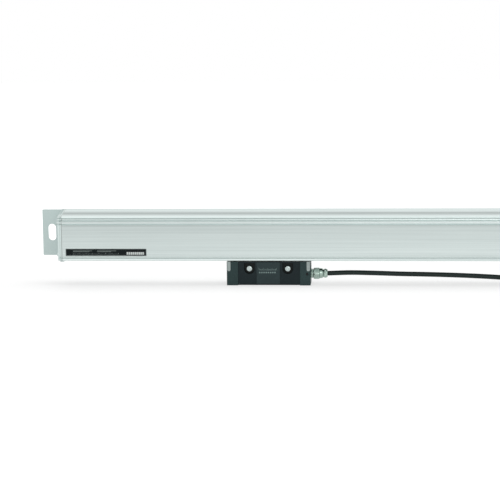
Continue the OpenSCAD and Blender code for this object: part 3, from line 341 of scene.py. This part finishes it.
# Each finish: name, light and dark tone, least and most roughness, grain, relief, metallic, stretch
finishes = {
    "housing_aluminium": extrudedFinish("clear_anodised_extruded_aluminium", extrusionSet),
    # Float glass: clear with a faint green edge
    "glass": grainFinish("polished_float_glass", "#f2fbf7", "#e8f6f0", (0.02, 0.05), 3.0, 0.0005, 0.0,
                         **{"Transmission Weight": 0.95, "IOR": 1.52}),
    # Extruded silicone: soft, milky, slightly dusty
    "cushion": grainFinish("extruded_silicone_strip", "#c3cbc8", "#b1bab7", (0.55, 0.7), 0.8, 0.02),
    # Moulded nitrile rubber: matt black with faint mould grain
    "seal_rubber": grainFinish("moulded_nitrile_rubber", "#26292a", "#1a1c1d", (0.55, 0.72), 0.5, 0.02),
    # Die-cast zinc, vibratory finished: even satin with faint mottling
    "cap_metal": grainFinish("tumbled_die_cast_zinc", "#d6e2e0", "#c3cfcd", (0.32, 0.45), 0.9, 0.03, 1.0),
    # Sand-blasted and anodised plate: matt, pale blue-grey grain, with a painted highlight lighter towards
    # the front
    "bracket_metal": grainFinish("blasted_anodised_aluminium_plate", "#bfcdcb", "#b1bfbd", (0.42, 0.55), 0.6,
                                 0.03, 1.0, tint=("#cfdbd9", paintedFrontHighlight)),
    # Machined and zinc-plated steel: bright with a little blue
    "screw_steel": grainFinish("zinc_plated_machined_steel", "#ccd8d6", "#b4c0be", (0.2, 0.3), 0.5, 0.002,
                               1.0),
    # Polyester film with a satin black back print
    "label": grainFinish("printed_black_polyester_film", "#081618", "#040d0f", (0.32, 0.42), 0.5, 0.006,
                         **{"Specular IOR Level": 0.15}),
    # Die-cast body with fine-textured powder coat: dark green-black, softly speckled, with painted shade
    # darker inside the U pockets round the screws
    "head_black": grainFinish("fine_textured_powder_coat", "#17272a", "#0e1b1f", (0.42, 0.56), 0.9, 0.05,
                              patch=25.0, tint=("#061010", paintedPocketShade), **{"Specular IOR Level": 0.22}),
    # Moulded end covers, glass-filled nylon: a touch lighter and more even
    "cover_black": grainFinish("moulded_glass_filled_nylon", "#314747", "#243737", (0.38, 0.5), 0.7, 0.03,
                               **{"Specular IOR Level": 0.25}),
    # Steel with black oxide: dark brown-blue satin
    "black_steel": grainFinish("black_oxide_steel", "#2c2f30", "#202324", (0.3, 0.42), 0.4, 0.01, 0.85),
    # Moulded epoxy round the chips: dark grey and matt
    "chip_plastic": grainFinish("moulded_epoxy", "#2b2d2f", "#1e2021", (0.45, 0.58), 0.25, 0.01),
    # Cold-rolled stainless sheet: bright grey with rolling lines along its length
    "sheet_steel": grainFinish("cold_rolled_stainless_sheet", "#a0aaa8", "#848e8c", (0.24, 0.36), 0.5, 0.008,
                               1.0, (0.02, 1, 1)),
    # Milled aluminium: tool lines a few tenths apart
    "carriage_metal": grainFinish("milled_aluminium", "#d2d6d5", "#bdc2c1", (0.26, 0.4), 0.4, 0.01, 1.0,
                                  (1, 0.05, 1)),
    # Ground and hardened ball-bearing steel: near mirror with grinding haze
    "bright_steel": grainFinish("ground_bearing_steel", "#e0e2e1", "#c6c9c8", (0.1, 0.2), 0.2, 0.004, 1.0,
                                (1, 1, 0.1)),
    # Polished crown glass: clear and without colour
    "lens_glass": grainFinish("polished_crown_glass", "#ffffff", "#f6fafc", (0.01, 0.03), 2.0, 0.0002, 0.0,
                              **{"Transmission Weight": 1.0, "IOR": 1.52}),
    # Clear moulded epoxy with a warm tint
    "lamp_body": grainFinish("tinted_clear_epoxy", "#f5e6c8", "#ecd9b2", (0.08, 0.16), 0.8, 0.004, 0.0,
                             **{"Transmission Weight": 0.6, "IOR": 1.54}),
    # Nickel-plated turned brass: warm grey-green sheen with fine turning lines round the axis
    "nickel": grainFinish("nickel_plated_turned_brass", "#bbcec4", "#92a59c", (0.16, 0.28), 0.35, 0.012, 1.0,
                          (1, 0.05, 0.05)),
    # Extruded polyurethane: black, slightly waxy, fine matt skin
    "cable_jacket": grainFinish("extruded_polyurethane", "#152a26", "#0a1a17", (0.36, 0.48), 0.6, 0.02, 0.0,
                                patch=30.0, **{"Specular IOR Level": 0.3}),
    # Metallised die-cast hood: dull silver with a slight orange peel
    "hood_metal": grainFinish("metallised_die_cast_hood", "#bec9c6", "#aeb9b6", (0.3, 0.42), 1.4, 0.04, 1.0),
    # Moulded glass-filled polyester: black with a dull sheen
    "insert_plastic": grainFinish("moulded_glass_filled_polyester", "#22282c", "#181c1f", (0.4, 0.52), 0.3,
                                  0.01),
    # Gold flash over nickel on turned pins
    "gold": grainFinish("gold_plated_brass", "#f1cf80", "#dcb560", (0.14, 0.24), 0.3, 0.006, 1.0),
}


def boardFinish(name, trackPitch):
    # Solder mask over copper: green, glossy, with paler straight tracks. A row of bricks is as high as a
    # quarter over the scale, and their mortar makes the tracks.
    material, tree, place = startFinish(name)
    tracks = addNode(tree, "ShaderNodeTexBrick", {"Vector": place},
                     {"Scale": 0.25 / (trackPitch * mm), "Mortar Size": 0.06, "Color1": linear("#1c5a3c"),
                      "Color2": linear("#1a5438"), "Mortar": linear("#3a7d58")})
    bump = addNode(tree, "ShaderNodeBump", {"Height": tracks.outputs["Fac"]}, {"Distance": 0.035 * mm})
    endFinish(tree, {"Base Color": tracks.outputs["Color"], "Normal": bump.outputs[0]},
              {"Roughness": 0.28, "Coat Weight": 0.3})
    return material


def wovenFinish(name, light, dark, thread):
    # Two crossing sine waves of the thread's spacing make the weave's height and its two tones. A wave is
    # 0.314 over its scale long.
    material, tree, place = startFinish(name)
    waves = [addNode(tree, "ShaderNodeTexWave", {"Vector": place},
                     {"Scale": 0.314 / (thread * mm), "Distortion": 0.6, "Detail": 1.0, "Detail Scale": 2.0},
                     bands_direction=axis).outputs["Fac"] for axis in ("X", "DIAGONAL")]
    weave = addNode(tree, "ShaderNodeMath", {0: waves[0], 1: waves[1]}, operation="MULTIPLY").outputs[0]
    colour = addNode(tree, "ShaderNodeMix", {0: weave}, {6: linear(dark), 7: linear(light)}, data_type="RGBA")
    bump = addNode(tree, "ShaderNodeBump", {"Height": weave}, {"Distance": 0.25 * mm, "Strength": 0.8})
    endFinish(tree, {"Base Color": colour.outputs[2], "Normal": bump.outputs[0]},
              {"Roughness": 0.85, "Sheen Weight": 0.3, "Sheen Roughness": 0.5})
    return material


finishes["circuit_board"] = boardFinish("solder_masked_circuit_board", 1.7857)
# Woven hook-and-loop strap: matt, fuzzy, with a visible weave
finishes["tie_fabric"] = wovenFinish("woven_hook_and_loop_tape", "#4a5054", "#22272a", 0.9)

for subpart in frame["record"]["subparts"]:
    for materialSlot in nodes[subpart["node"]].material_slots:
        materialSlot.material = finishes[subpart["material_slot"]]

# ---- Pieces made of surfaces ----
print("pieces")
sameSpot = 1e-6     # metres, under which two points are one


def addPiece(name, surfaces, body, slot, finish=None, smooth=35, standsFor=()):
    # Each surface is a grid of points, rows by columns, with flags for closing it round each way. The grids
    # go into one mesh, equal points are merged and the faces are turned outwards.
    points, faces, base = [], [], 0
    for grid, closeRows, closeColumns in surfaces:
        rows, columns = grid.shape[:2]
        index = np.arange(rows * columns).reshape(rows, columns)
        if closeRows:
            index = np.vstack([index, index[:1]])
        if closeColumns:
            index = np.hstack([index, index[:, :1]])
        quads = np.stack([index[:-1, :-1], index[1:, :-1], index[1:, 1:], index[:-1, 1:]], -1)
        points.append(grid.reshape(-1, 3))
        faces.append(quads.reshape(-1, 4) + base)
        base += rows * columns
    mesh = bpy.data.meshes.new(name)
    mesh.from_pydata((np.vstack(points) * mm).tolist(), [], np.vstack(faces).tolist())
    work = bmesh.new()
    work.from_mesh(mesh)
    bmesh.ops.remove_doubles(work, verts=work.verts, dist=sameSpot)
    bmesh.ops.dissolve_degenerate(work, edges=work.edges, dist=sameSpot / 10)
    bmesh.ops.recalc_face_normals(work, faces=work.faces)
    work.to_mesh(mesh)
    work.free()
    mesh.shade_smooth()
    mesh.set_sharp_from_angle(angle=math.radians(smooth))
    mesh.materials.append(finish or finishes[slot])
    piece = bpy.data.objects.new(name, mesh)
    bpy.context.scene.collection.objects.link(piece)
    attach(piece, body)
    if standsFor:
        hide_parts(*standsFor)
    return piece


turnedSet = {"knurlDepth": 0.24, "threadPitch": 0.7, "rowsPerPitch": 8}


def turnedGrid(rows, centre, axis, sides, teeth=30):
    # A shape turned round X or Y. Each row is a place along the axis, a radius, the way it is cut and, for a
    # hex, the radius of its corners. A hex is its half width over the cosine of the angle to the nearest
    # flat. A knurl is cut in by a cosine wave round the axis. A thread is cut in, half its pitch deep, by a
    # triangle wave of the place and the angle together.
    pitch = turnedSet["threadPitch"]
    angle = np.linspace(0, 2 * np.pi, sides, endpoint=False)
    grid = []
    for along, radius, cut, *corner in rows:
        if cut == "hex":
            ring = radius / np.cos(angle % (np.pi / 3) - np.pi / 6)
            ring = np.minimum(ring, corner[0] if corner else np.inf)
        elif cut == "knurl":
            ring = radius - turnedSet["knurlDepth"] * (1 - np.cos(teeth * angle)) / 2
        elif cut == "thread":
            wave = (along / pitch - angle / (2 * np.pi)) % 1
            ring = radius - 0.5 * pitch * np.abs(2 * wave - 1)
        else:
            ring = np.full(sides, radius)
        u, v, a = ring * np.cos(angle), ring * np.sin(angle), np.full(sides, along)
        grid.append(np.stack((a, u, v) if axis == "X" else (u, a, v), -1))
    return np.array(grid) + np.array(centre)


def threadRows(start, stop, radius):
    # Evenly spaced rows, close enough together to show the thread's wave
    count = int((stop - start) / turnedSet["threadPitch"] * turnedSet["rowsPerPitch"])
    return [(along, radius, "thread") for along in np.linspace(start, stop, count)]


cablePath = cableLine(cableSet)
cableGrid = tubeGrid(cablePath / mm, cableSet["diameter"] / 2, cableSet["sides"])
cable = addPiece("signal_cable", [(cableGrid, False, True)], "scanning_unit", "cable_jacket", smooth=60,
                 standsFor=("cable", "cable_hank", "cable_tail"))

strapSet = {
    "width": 14.0,              # along the hank
    "thickness": 0.95,
    "halfWide": 11.05,          # inside of the strap
    "low": 0.0, "high": 24.0,   # outside of the strap
    "cornerRadius": 3.0,
    "edge": 0.3,                # how far its edges are rounded
}


def roundedLoop(halfWide, low, high, radius, perCorner=8):
    # Four quarter circles joined by straight sides, counter-clockwise in y and z
    angle = np.linspace(0, np.pi / 2, perCorner + 1)
    corners = [(halfWide - radius, high - radius, 0), (-halfWide + radius, high - radius, 1),
               (-halfWide + radius, low + radius, 2), (halfWide - radius, low + radius, 3)]
    return np.vstack([np.stack([y + radius * np.cos(angle + k * np.pi / 2),
                                z + radius * np.sin(angle + k * np.pi / 2)], 1) for y, z, k in corners])


def tieStrap(settings):
    # A loop round the waist carried across the strap's width: out along the outer loop, and back along the
    # inner one. A loop midway between them rounds each edge.
    thick, half = settings["thickness"], settings["width"] / 2
    flat = half - settings["edge"]
    outer = roundedLoop(settings["halfWide"] + thick, settings["low"], settings["high"],
                        settings["cornerRadius"])
    inner = roundedLoop(settings["halfWide"], settings["low"] + thick, settings["high"] - thick,
                        settings["cornerRadius"] - thick)
    middle = exitPoint.x / mm + cableSet["middle"]
    midway = inner * 0.5 + outer * 0.5
    across = [(outer, -flat), (outer, flat), (midway, half), (inner, flat), (inner, -flat), (midway, -half)]
    grid = np.stack([np.c_[np.full(len(loop), middle + x), loop] for loop, x in across])
    return [(grid, True, True)]


addPiece("hank_strap", tieStrap(strapSet), "scanning_unit", "tie_fabric", standsFor=("hank_tie",))

screwSet = {
    "x": (-52.5, -8.5),         # two screws
    "z": 19.5,
    "front": -15.5, "seat": -11.5, "threadFrom": 14.0, "end": 18.5,
    "headRadius": 3.5, "shankRadius": 1.6, "threadRadius": 2.0,
    "socketHalf": 1.5, "socketDepth": 2.4, "socketCone": 0.5, "socketEdge": 0.2,
    # The head's rounded front: behind its face, and less than its radius
    "crown": [(0.16, 1.1), (0.42, 0.62), (0.85, 0.26), (1.4, 0.06)],
    "knurlFrom": 1.8,
}


def socketScrew(settings, x):
    # From the bottom of the hex socket out over the head, and along the shank to the thread's end
    front, seat, end = settings["front"], settings["seat"], settings["end"]
    head, hexHalf = settings["headRadius"], settings["socketHalf"]
    bottom = front + settings["socketDepth"]
    rows = [(bottom + settings["socketCone"], 0, "round"), (bottom, hexHalf, "hex"),
            (front + settings["socketEdge"], hexHalf, "hex"), (front, hexHalf + 0.3, "round")]
    rows += [(front + behind, head - less, "round") for behind, less in settings["crown"]]
    rows += [(front + settings["knurlFrom"], head, "knurl"), (seat - 0.3, head, "knurl"),
             (seat, head - 0.2, "round"), (seat, settings["shankRadius"], "round"),
             (settings["threadFrom"], settings["shankRadius"], "round")]
    rows += threadRows(settings["threadFrom"] + 0.1, end - 0.4, settings["threadRadius"])
    rows += [(end, settings["threadRadius"] - 0.4, "round"), (end, 0, "round")]
    return turnedGrid(rows, (x, 0, settings["z"]), "Y", 96, 30), False, True


addPiece("socket_head_screws", [socketScrew(screwSet, x) for x in screwSet["x"]], "scanning_unit",
         "screw_steel", standsFor=("mounting_screws",))

glandSet = {
    "x": 17.5, "z": 12.0,       # where the gland leaves the head
    "bore": 3.0,
    "nutFrom": 3.0, "nutHalf": 6.2, "nutCorner": 7.0, "hexLength": 6.9,
    "domeFrom": 0.3, "domeLength": 3.9, "domeEnd": 4.5, "domeSwell": 1.4,   # how it draws in to the collar
    "domeAngle": 1.5, "domeSteps": 8,   # radians of the ellipse
    "collarFrom": 14.15, "collarRadius": 5.1, "end": 19.0,
}


def glandNut(settings):
    # Hex with turned corners, a groove, and nearly a quarter of an ellipse: its length times a sine along the
    # axis, its swell times a cosine outwards
    start, half, corner = settings["nutFrom"], settings["nutHalf"], settings["nutCorner"]
    hexEnd = start + settings["hexLength"]
    angle = np.linspace(0, settings["domeAngle"], settings["domeSteps"] + 1)
    places = hexEnd + settings["domeFrom"] + settings["domeLength"] * np.sin(angle)
    radii = settings["domeEnd"] + settings["domeSwell"] * np.cos(angle)
    dome = [(along, radius, "round") for along, radius in zip(places, radii)]
    rows = [(start + 0.05, settings["bore"] + 1.3, "round"), (start, half - 0.4, "round"),
            (start + 0.5, half, "hex", half + 0.35), (start + 1.3, half, "hex", corner),
            (hexEnd - 1.0, half, "hex", corner), (hexEnd - 0.3, half, "hex", half + 0.4),
            (hexEnd, half - 0.3, "round"), (hexEnd + 0.1, half - 0.55, "round")] + dome
    rows += [(dome[-1][0], settings["bore"], "round"), (start + 1.0, settings["bore"] + 1.3, "round")]
    return turnedGrid(rows, (settings["x"], 0, settings["z"]), "X", 96), True, True


def glandCollar(settings):
    # A knurled ring between two turned shoulders, with a bore for the cable
    start, end, outer = settings["collarFrom"], settings["end"], settings["collarRadius"]
    rows = [(start, settings["bore"], "round"), (start, outer - 0.9, "round"),
            (start + 0.35, outer - 0.5, "round"), (start + 1.0, outer - 0.3, "round"),
            (start + 1.3, outer, "knurl"), (end - 1.5, outer, "knurl"),
            (end - 1.1, outer - 0.4, "round"), (end - 0.3, outer - 0.5, "round"), (end, outer - 0.9, "round"),
            (end - 0.4, settings["bore"] + 0.5, "round"), (end - 1.0, settings["bore"], "round")]
    return turnedGrid(rows, (settings["x"], 0, settings["z"]), "X", 176, 44), True, True


addPiece("hex_dome_nut", [glandNut(glandSet)], "scanning_unit", "nickel", standsFor=("gland_nut",))
addPiece("knurled_collar", [glandCollar(glandSet)], "scanning_unit", "nickel", standsFor=("gland_collar",))

plugSet = {
    "x": 532.5, "y": -8.0, "z": 7.5,    # rear of the hood, on the cable's axis
    "bootLength": 12.0, "bootThin": 3.6, "bootWide": 4.6, "bore": 2.75, "collar": 3.9,
    "ribs": 6, "ribDepth": 0.55,
    "ribRows": 73, "ribsFrom": 0.3,     # rows over the ribs, and how far they stay from each end
    "thumbPitch": 25.0, "gripFrom": 10.5, "gripLength": 9.0, "gripRadius": 4.16,
}


def ribbedBoot(settings):
    # A cone whose radius is cut in by a wave with broad tops: the square root of a cosine's size
    length, thin, wide = settings["bootLength"], settings["bootThin"], settings["bootWide"]
    along = np.linspace(settings["ribsFrom"], length - settings["ribsFrom"], settings["ribRows"])
    wave = np.abs(np.cos(np.pi * settings["ribs"] * along / length)) ** 0.5
    radius = thin + (wide - thin) * along / length - settings["ribDepth"] * (1 - wave)
    rows = [(0.0, settings["bore"], "round"), (0.0, thin - 0.4, "round")]
    rows += [(a, r, "round") for a, r in zip(along, radius)]
    rows += [(length, wide, "round"), (length + settings["collar"], wide, "round"),
             (length + settings["collar"], settings["bore"], "round")]
    place = (settings["x"] - length, settings["y"], settings["z"])
    return turnedGrid(rows, place, "X", 40), True, True


def knurledGrip(settings, side):
    # A knurled ring sunk into the thumbscrew's plain grip
    start, stop = settings["gripFrom"] + 0.5, settings["gripFrom"] + settings["gripLength"] - 0.5
    outer = settings["gripRadius"]
    rows = [(start, outer - 0.5, "round"), (start, outer - 0.2, "round"), (start + 0.3, outer, "knurl"),
            (stop - 0.3, outer, "knurl"), (stop, outer - 0.2, "round"), (stop, outer - 0.5, "round")]
    place = (settings["x"], settings["y"] + side * settings["thumbPitch"] / 2, settings["z"])
    return turnedGrid(rows, place, "X", 120, 30), True, True


boot = addPiece("ribbed_boot", [ribbedBoot(plugSet)], "scanning_unit", "cable_jacket",
                standsFor=("plug_boot",))
grips = [addPiece("knurled_grip_" + end, [knurledGrip(plugSet, side)], "thumbscrew_" + end, "nickel")
         for end, side in (("front", -1), ("rear", 1))]

# Edge break, in millimetres, of the pieces whose corners catch the light
edgeBreaks = {"head_body": 0.35, "head_cover_left": 0.35, "head_cover_right": 0.35, "bracket_left": 0.3,
              "bracket_right": 0.3, "end_cap_left": 0.3, "end_cap_right": 0.3, "hood_lower": 0.7,
              "hood_upper": 0.7, "gland_body": 0.15, "plug_shell": 0.15}
# Degrees under which faces join and over which an edge is broken
bevelSet = {"flatAngle": 0.6, "edgeAngle": 40, "segments": 2}
bodyOf = {node: body for body, held in frame["record"]["behaviour"]["bodies"].items() for node in held}


def breakEdges(name, width):
    # A merged copy of the node's mesh, whose flat faces are joined, so that a bevel finds its true edges
    mesh = nodes[name].data.copy()
    mesh.name = name + "_edged"
    work = bmesh.new()
    work.from_mesh(mesh)
    bmesh.ops.remove_doubles(work, verts=work.verts, dist=2 * sameSpot)
    bmesh.ops.dissolve_limit(work, angle_limit=math.radians(bevelSet["flatAngle"]), verts=work.verts,
                             edges=work.edges)
    work.to_mesh(mesh)
    work.free()
    mesh.shade_smooth()
    piece = bpy.data.objects.new(mesh.name, mesh)
    bpy.context.scene.collection.objects.link(piece)
    bevel = piece.modifiers.new("edge", "BEVEL")
    bevel.width, bevel.segments = width * mm, bevelSet["segments"]
    bevel.limit_method, bevel.angle_limit = "ANGLE", math.radians(bevelSet["edgeAngle"])
    bevel.use_clamp_overlap = False
    level = piece.modifiers.new("flatten", "WEIGHTED_NORMAL")
    level.mode, level.weight = "FACE_AREA", 100
    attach(piece, bodyOf[name])
    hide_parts(name)
    return piece


edged = {name: breakEdges(name, width) for name, width in edgeBreaks.items()}

labelSet = {
    "margin": 0.55,             # from the label's edge to the printed frame
    "lineWidth": 0.14,
    "frameGap": 0.02,           # the frame's upright bars stop this short of the others
    "ticks": (8, 62),           # first and last, from the frame's left end
    "tickPitch": 1.5, "tickWidth": 0.28, "tickFoot": 1.0,
    "tickHeights": (0.9, 1.7),  # ordinary and every fifth tick
    "rules": [(8, 30, 1.6), (8, 27, 2.6), (36, 58, 1.6), (36, 52, 2.6)],    # from, to, under the frame's top
    "ruleWidth": 0.35,
    "field": (70.5, 91.0),      # pale graduated field, from the label's left end
    "fieldBars": 9, "fieldGap": 0.44, "fieldFoot": 1.3, "fieldHeight": 3.0,
    "ink": "#a3afac",
    "paleInk": "#e3eae8",
    "proud": 0.04,              # how far the print stands out
}


def plates(rows, y, thick=0.03):
    # Each row is a rectangle, x from and to and z from and to, carried from the front to the back as a thin
    # plate square to Y, and closed by its middle point at each face
    grids = []
    for left, right, foot, top in rows:
        loop = np.array([[left, foot], [right, foot], [right, top], [left, top]], float)
        middle = np.tile(loop.mean(0), (4, 1))
        layers = [(middle, y), (loop, y), (loop, y + thick), (middle, y + thick)]
        grids.append((np.stack([np.c_[flat[:, 0], np.full(4, at), flat[:, 1]] for flat, at in layers]),
                      False, True))
    return grids


def printedLines(settings, low, high):
    # A thin frame, a row of ticks and a few rules
    left, right = low.x / mm + settings["margin"], high.x / mm - settings["margin"]
    foot, top = low.z / mm + settings["margin"], high.z / mm - settings["margin"]
    line = settings["lineWidth"]
    barFoot, barTop = foot + line + settings["frameGap"], top - line - settings["frameGap"]
    rows = [(left, right, foot, foot + line), (left, right, top - line, top),
            (left, left + line, barFoot, barTop), (right - line, right, barFoot, barTop)]
    short, tall = settings["tickHeights"]
    tickFoot = foot + settings["tickFoot"]
    first, last = settings["ticks"]
    rows += [(x, x + settings["tickWidth"], tickFoot, tickFoot + (tall if number % 5 == 0 else short))
             for number, x in enumerate(np.arange(left + first, left + last, settings["tickPitch"]))]
    rows += [(left + start, left + stop, top - drop - settings["ruleWidth"], top - drop)
             for start, stop, drop in settings["rules"]]
    return rows


def paleField(settings, low):
    # A row of pale bars with narrow gaps over the lower half of the label
    edges = np.linspace(*settings["field"], settings["fieldBars"] + 1) + low.x / mm
    foot, inset = low.z / mm + settings["fieldFoot"], settings["fieldGap"] / 2
    return [(start + inset, stop - inset, foot, foot + settings["fieldHeight"])
            for start, stop in zip(edges[:-1], edges[1:])]


labelLow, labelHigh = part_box("type_label")
labelPlane = labelLow.y / mm - labelSet["proud"]
# Screen-printed inks: matt, flat and opaque
greyInk = grainFinish("grey_screen_print", labelSet["ink"], "#7b8684", (0.4, 0.5), 0.4, 0.002)
paleInk = grainFinish("pale_screen_print", labelSet["paleInk"], "#cfd7d5", (0.4, 0.5), 0.4, 0.002)
addPiece("label_lines", plates(printedLines(labelSet, labelLow, labelHigh), labelPlane), "scale_unit",
         "label", greyInk)
addPiece("label_field", plates(paleField(labelSet, labelLow), labelPlane), "scale_unit", "label", paleInk)

filmSet = {
    "middle": -31.0,
    # Half width, lower and upper edge and corner radius of the insert, which fills the casting's shallow
    # field, and of the thin lip, which lies on the casting round it
    "insert": (13.1, 3.2, 24.5, 0.8),
    "lip": (13.4, 1.9, 26.9, 0.8),
    "front": -14.75, "seat": -14.6, "back": -14.31,
    "rule": 17.9, "ruleFrom": -41.5, "ruleTo": -21.5, "ruleHalf": 0.12,
    "tickPitch": 1.0, "tickHalf": 0.16, "tickHeights": (1.3, 2.4),  # ordinary and every fifth tick
    "barPitch": 2.5, "barLength": 1.6, "barDrops": (3.6, 2.0),      # lower and upper edge under the rule
    "inkThick": 0.03,
}


def thinFilm(settings):
    # Two rounded outlines, the lip's and the insert's, carried from the front to the back and closed by a
    # middle point at each face
    lip, insert = roundedLoop(*settings["lip"]), roundedLoop(*settings["insert"])
    centre = np.tile([0.0, sum(settings["insert"][1:3]) / 2], (len(lip), 1))
    rows = [(centre, settings["front"]), (lip, settings["front"]), (lip, settings["seat"]),
            (insert, settings["seat"]), (insert, settings["back"]), (centre, settings["back"])]
    return np.stack([np.c_[flat[:, 0] + settings["middle"], np.full(len(flat), y), flat[:, 1]]
                     for flat, y in rows]), False, True


def filmMarks(settings):
    # A short rule with ticks over it and a row of bars under it
    start, stop, level = settings["ruleFrom"], settings["ruleTo"], settings["rule"]
    half, tickHalf = settings["ruleHalf"], settings["tickHalf"]
    short, tall = settings["tickHeights"]
    low, high = (level - drop for drop in settings["barDrops"])
    rows = [(start, stop, level - half, level + half)]
    rows += [(x - tickHalf, x + tickHalf, level + half, level + (tall if number % 5 == 0 else short))
             for number, x in enumerate(np.arange(start, stop + tickHalf, settings["tickPitch"]))]
    rows += [(x, x + settings["barLength"], low, high)
             for x in np.arange(start, stop - 1, settings["barPitch"])]
    return rows


# Printed polyester film with a fine leather-like grain, a little lighter than the casting round it
filmFinish = grainFinish("textured_polyester_film", "#2a3d3f", "#223335", (0.4, 0.5), 0.5, 0.02,
                         **{"Specular IOR Level": 0.3})
# The same ink on film: grey-green and matt
filmInk = grainFinish("grey_film_print", "#8aa09e", "#738987", (0.4, 0.5), 0.4, 0.002)
addPiece("head_film", [thinFilm(filmSet)], "scanning_unit", "label", filmFinish)
addPiece("film_marks", plates(filmMarks(filmSet), filmSet["front"] - filmSet["inkThick"]), "scanning_unit",
         "label", filmInk)

# ---- Floor and light ----
print("stage and light")
floorSet = {
    "reach": 5.0,               # metres, as the next three
    "alongObject": 0.6,
    "shadedTo": 0.1, "whiteFrom": 0.45,
    "glowNear": 0.66,           # how bright the floor is by itself under the object
    "paper": (0.8, 0.8, 0.8, 1),        # what lights the object from below
    "shadow": (0.34, 0.34, 0.34, 1),    # the part of the floor that the eye sees lit and shaded
}


def floorFinish():
    # White paper. To the eye it glows up to white and keeps part of its shade, so that the shadow stays. The
    # glow grows with the distance past the object, sideways counted only from the object's ends.
    material, tree, point = startFinish("white_paper")
    path = addNode(tree, "ShaderNodeLightPath")
    seen = addNode(tree, "ShaderNodeMath",
                   {0: path.outputs["Is Camera Ray"], 1: path.outputs["Is Glossy Ray"]}, operation="MAXIMUM")
    plain = addNode(tree, "ShaderNodeBsdfDiffuse", None, {"Color": floorSet["paper"]})
    thin = addNode(tree, "ShaderNodeBsdfDiffuse", None, {"Color": floorSet["shadow"]})
    place = addNode(tree, "ShaderNodeSeparateXYZ", {"Vector": point})
    sideways = addNode(tree, "ShaderNodeMath", {0: place.outputs["X"]}, operation="ABSOLUTE").outputs[0]
    past = addNode(tree, "ShaderNodeMath", {0: sideways}, {1: floorSet["alongObject"]},
                   operation="SUBTRACT").outputs[0]
    beyond = addNode(tree, "ShaderNodeMath", {0: past}, {1: 0.0}, operation="MAXIMUM").outputs[0]
    off = addNode(tree, "ShaderNodeCombineXYZ", {"X": beyond, "Y": place.outputs["Y"]}).outputs[0]
    away = addNode(tree, "ShaderNodeVectorMath", {0: off}, operation="LENGTH").outputs["Value"]
    level = addNode(tree, "ShaderNodeMapRange", {"Value": away},
                    {"From Min": floorSet["shadedTo"], "From Max": floorSet["whiteFrom"],
                     "To Min": floorSet["glowNear"], "To Max": 1.0}, interpolation_type="SMOOTHSTEP")
    glow = addNode(tree, "ShaderNodeEmission", {"Strength": level.outputs[0]})
    both = addNode(tree, "ShaderNodeAddShader", {0: thin.outputs[0], 1: glow.outputs[0]})
    mix = addNode(tree, "ShaderNodeMixShader", {0: seen.outputs[0], 1: plain.outputs[0], 2: both.outputs[0]})
    under = addNode(tree, "ShaderNodeNewGeometry").outputs["Backfacing"]
    clear = addNode(tree, "ShaderNodeBsdfTransparent")
    side = addNode(tree, "ShaderNodeMixShader", {0: under, 1: mix.outputs[0], 2: clear.outputs[0]})
    addNode(tree, "ShaderNodeOutputMaterial", {"Surface": side.outputs[0]})
    return material


def layFloor(reach):
    # One square under the object
    mesh = bpy.data.meshes.new("floor")
    mesh.from_pydata([(-reach, -reach, 0), (reach, -reach, 0), (reach, reach, 0), (-reach, reach, 0)], [],
                     [(0, 1, 2, 3)])
    mesh.materials.append(floorFinish())
    floor = bpy.data.objects.new("floor", mesh)
    bpy.context.scene.collection.objects.link(floor)


def lightWorld(fill):
    # The eye, metal and glass see white; what falls on plain surfaces is weaker
    world = bpy.data.worlds.new("studio")
    bpy.context.scene.world = world
    world.use_nodes = True
    tree = world.node_tree
    tree.nodes.clear()
    path = addNode(tree, "ShaderNodeLightPath")
    seen = addNode(tree, "ShaderNodeMath",
                   {0: path.outputs["Is Camera Ray"], 1: path.outputs["Is Glossy Ray"]}, operation="MAXIMUM")
    whole = addNode(tree, "ShaderNodeMath", {0: seen.outputs[0], 1: path.outputs["Is Transmission Ray"]},
                    operation="MAXIMUM")
    strength = addNode(tree, "ShaderNodeMapRange", {"Value": whole.outputs[0]},
                       {"To Min": fill, "To Max": 1.0})
    glow = addNode(tree, "ShaderNodeBackground", {"Strength": strength.outputs[0]}, {"Color": (1, 1, 1, 1)})
    addNode(tree, "ShaderNodeOutputWorld", {"Surface": glow.outputs[0]})


# Places and sizes in metres. Metal shows the white studio instead of the overhead lamp, which would clip.
lampSet = {
    "overhead_softbox": {"place": (0.1, 0.3, 1.5), "aim": (0, 0, 0), "size": (2.2, 1.2), "watts": 17,
                         "mirrored": False},
    "front_softbox": {"place": (0.7, -1.9, 1.0), "aim": (0, 0, 0.05), "size": (1.4, 0.9), "watts": 5,
                      "mirrored": True},
}
worldFill = 0.55


def hangLamp(name, settings):
    # One rectangular lamp, turned to its aim
    data = bpy.data.lights.new(name, "AREA")
    data.shape = "RECTANGLE"
    data.size, data.size_y = settings["size"]
    data.energy = settings["watts"]
    lamp = bpy.data.objects.new(name, data)
    bpy.context.scene.collection.objects.link(lamp)
    lamp.location = settings["place"]
    lamp.visible_glossy = settings["mirrored"]
    lamp.rotation_mode = "QUATERNION"
    sight = Vector(settings["aim"]) - Vector(settings["place"])
    lamp.rotation_quaternion = sight.to_track_quat("-Z", "Y")


layFloor(floorSet["reach"])
lightWorld(worldFill)
for name, lamp in lampSet.items():
    hangLamp(name, lamp)
bpy.context.scene.view_settings.view_transform = "Standard"

# ---- Scene update ----
print("cord and size")
bpy.context.view_layer.update()
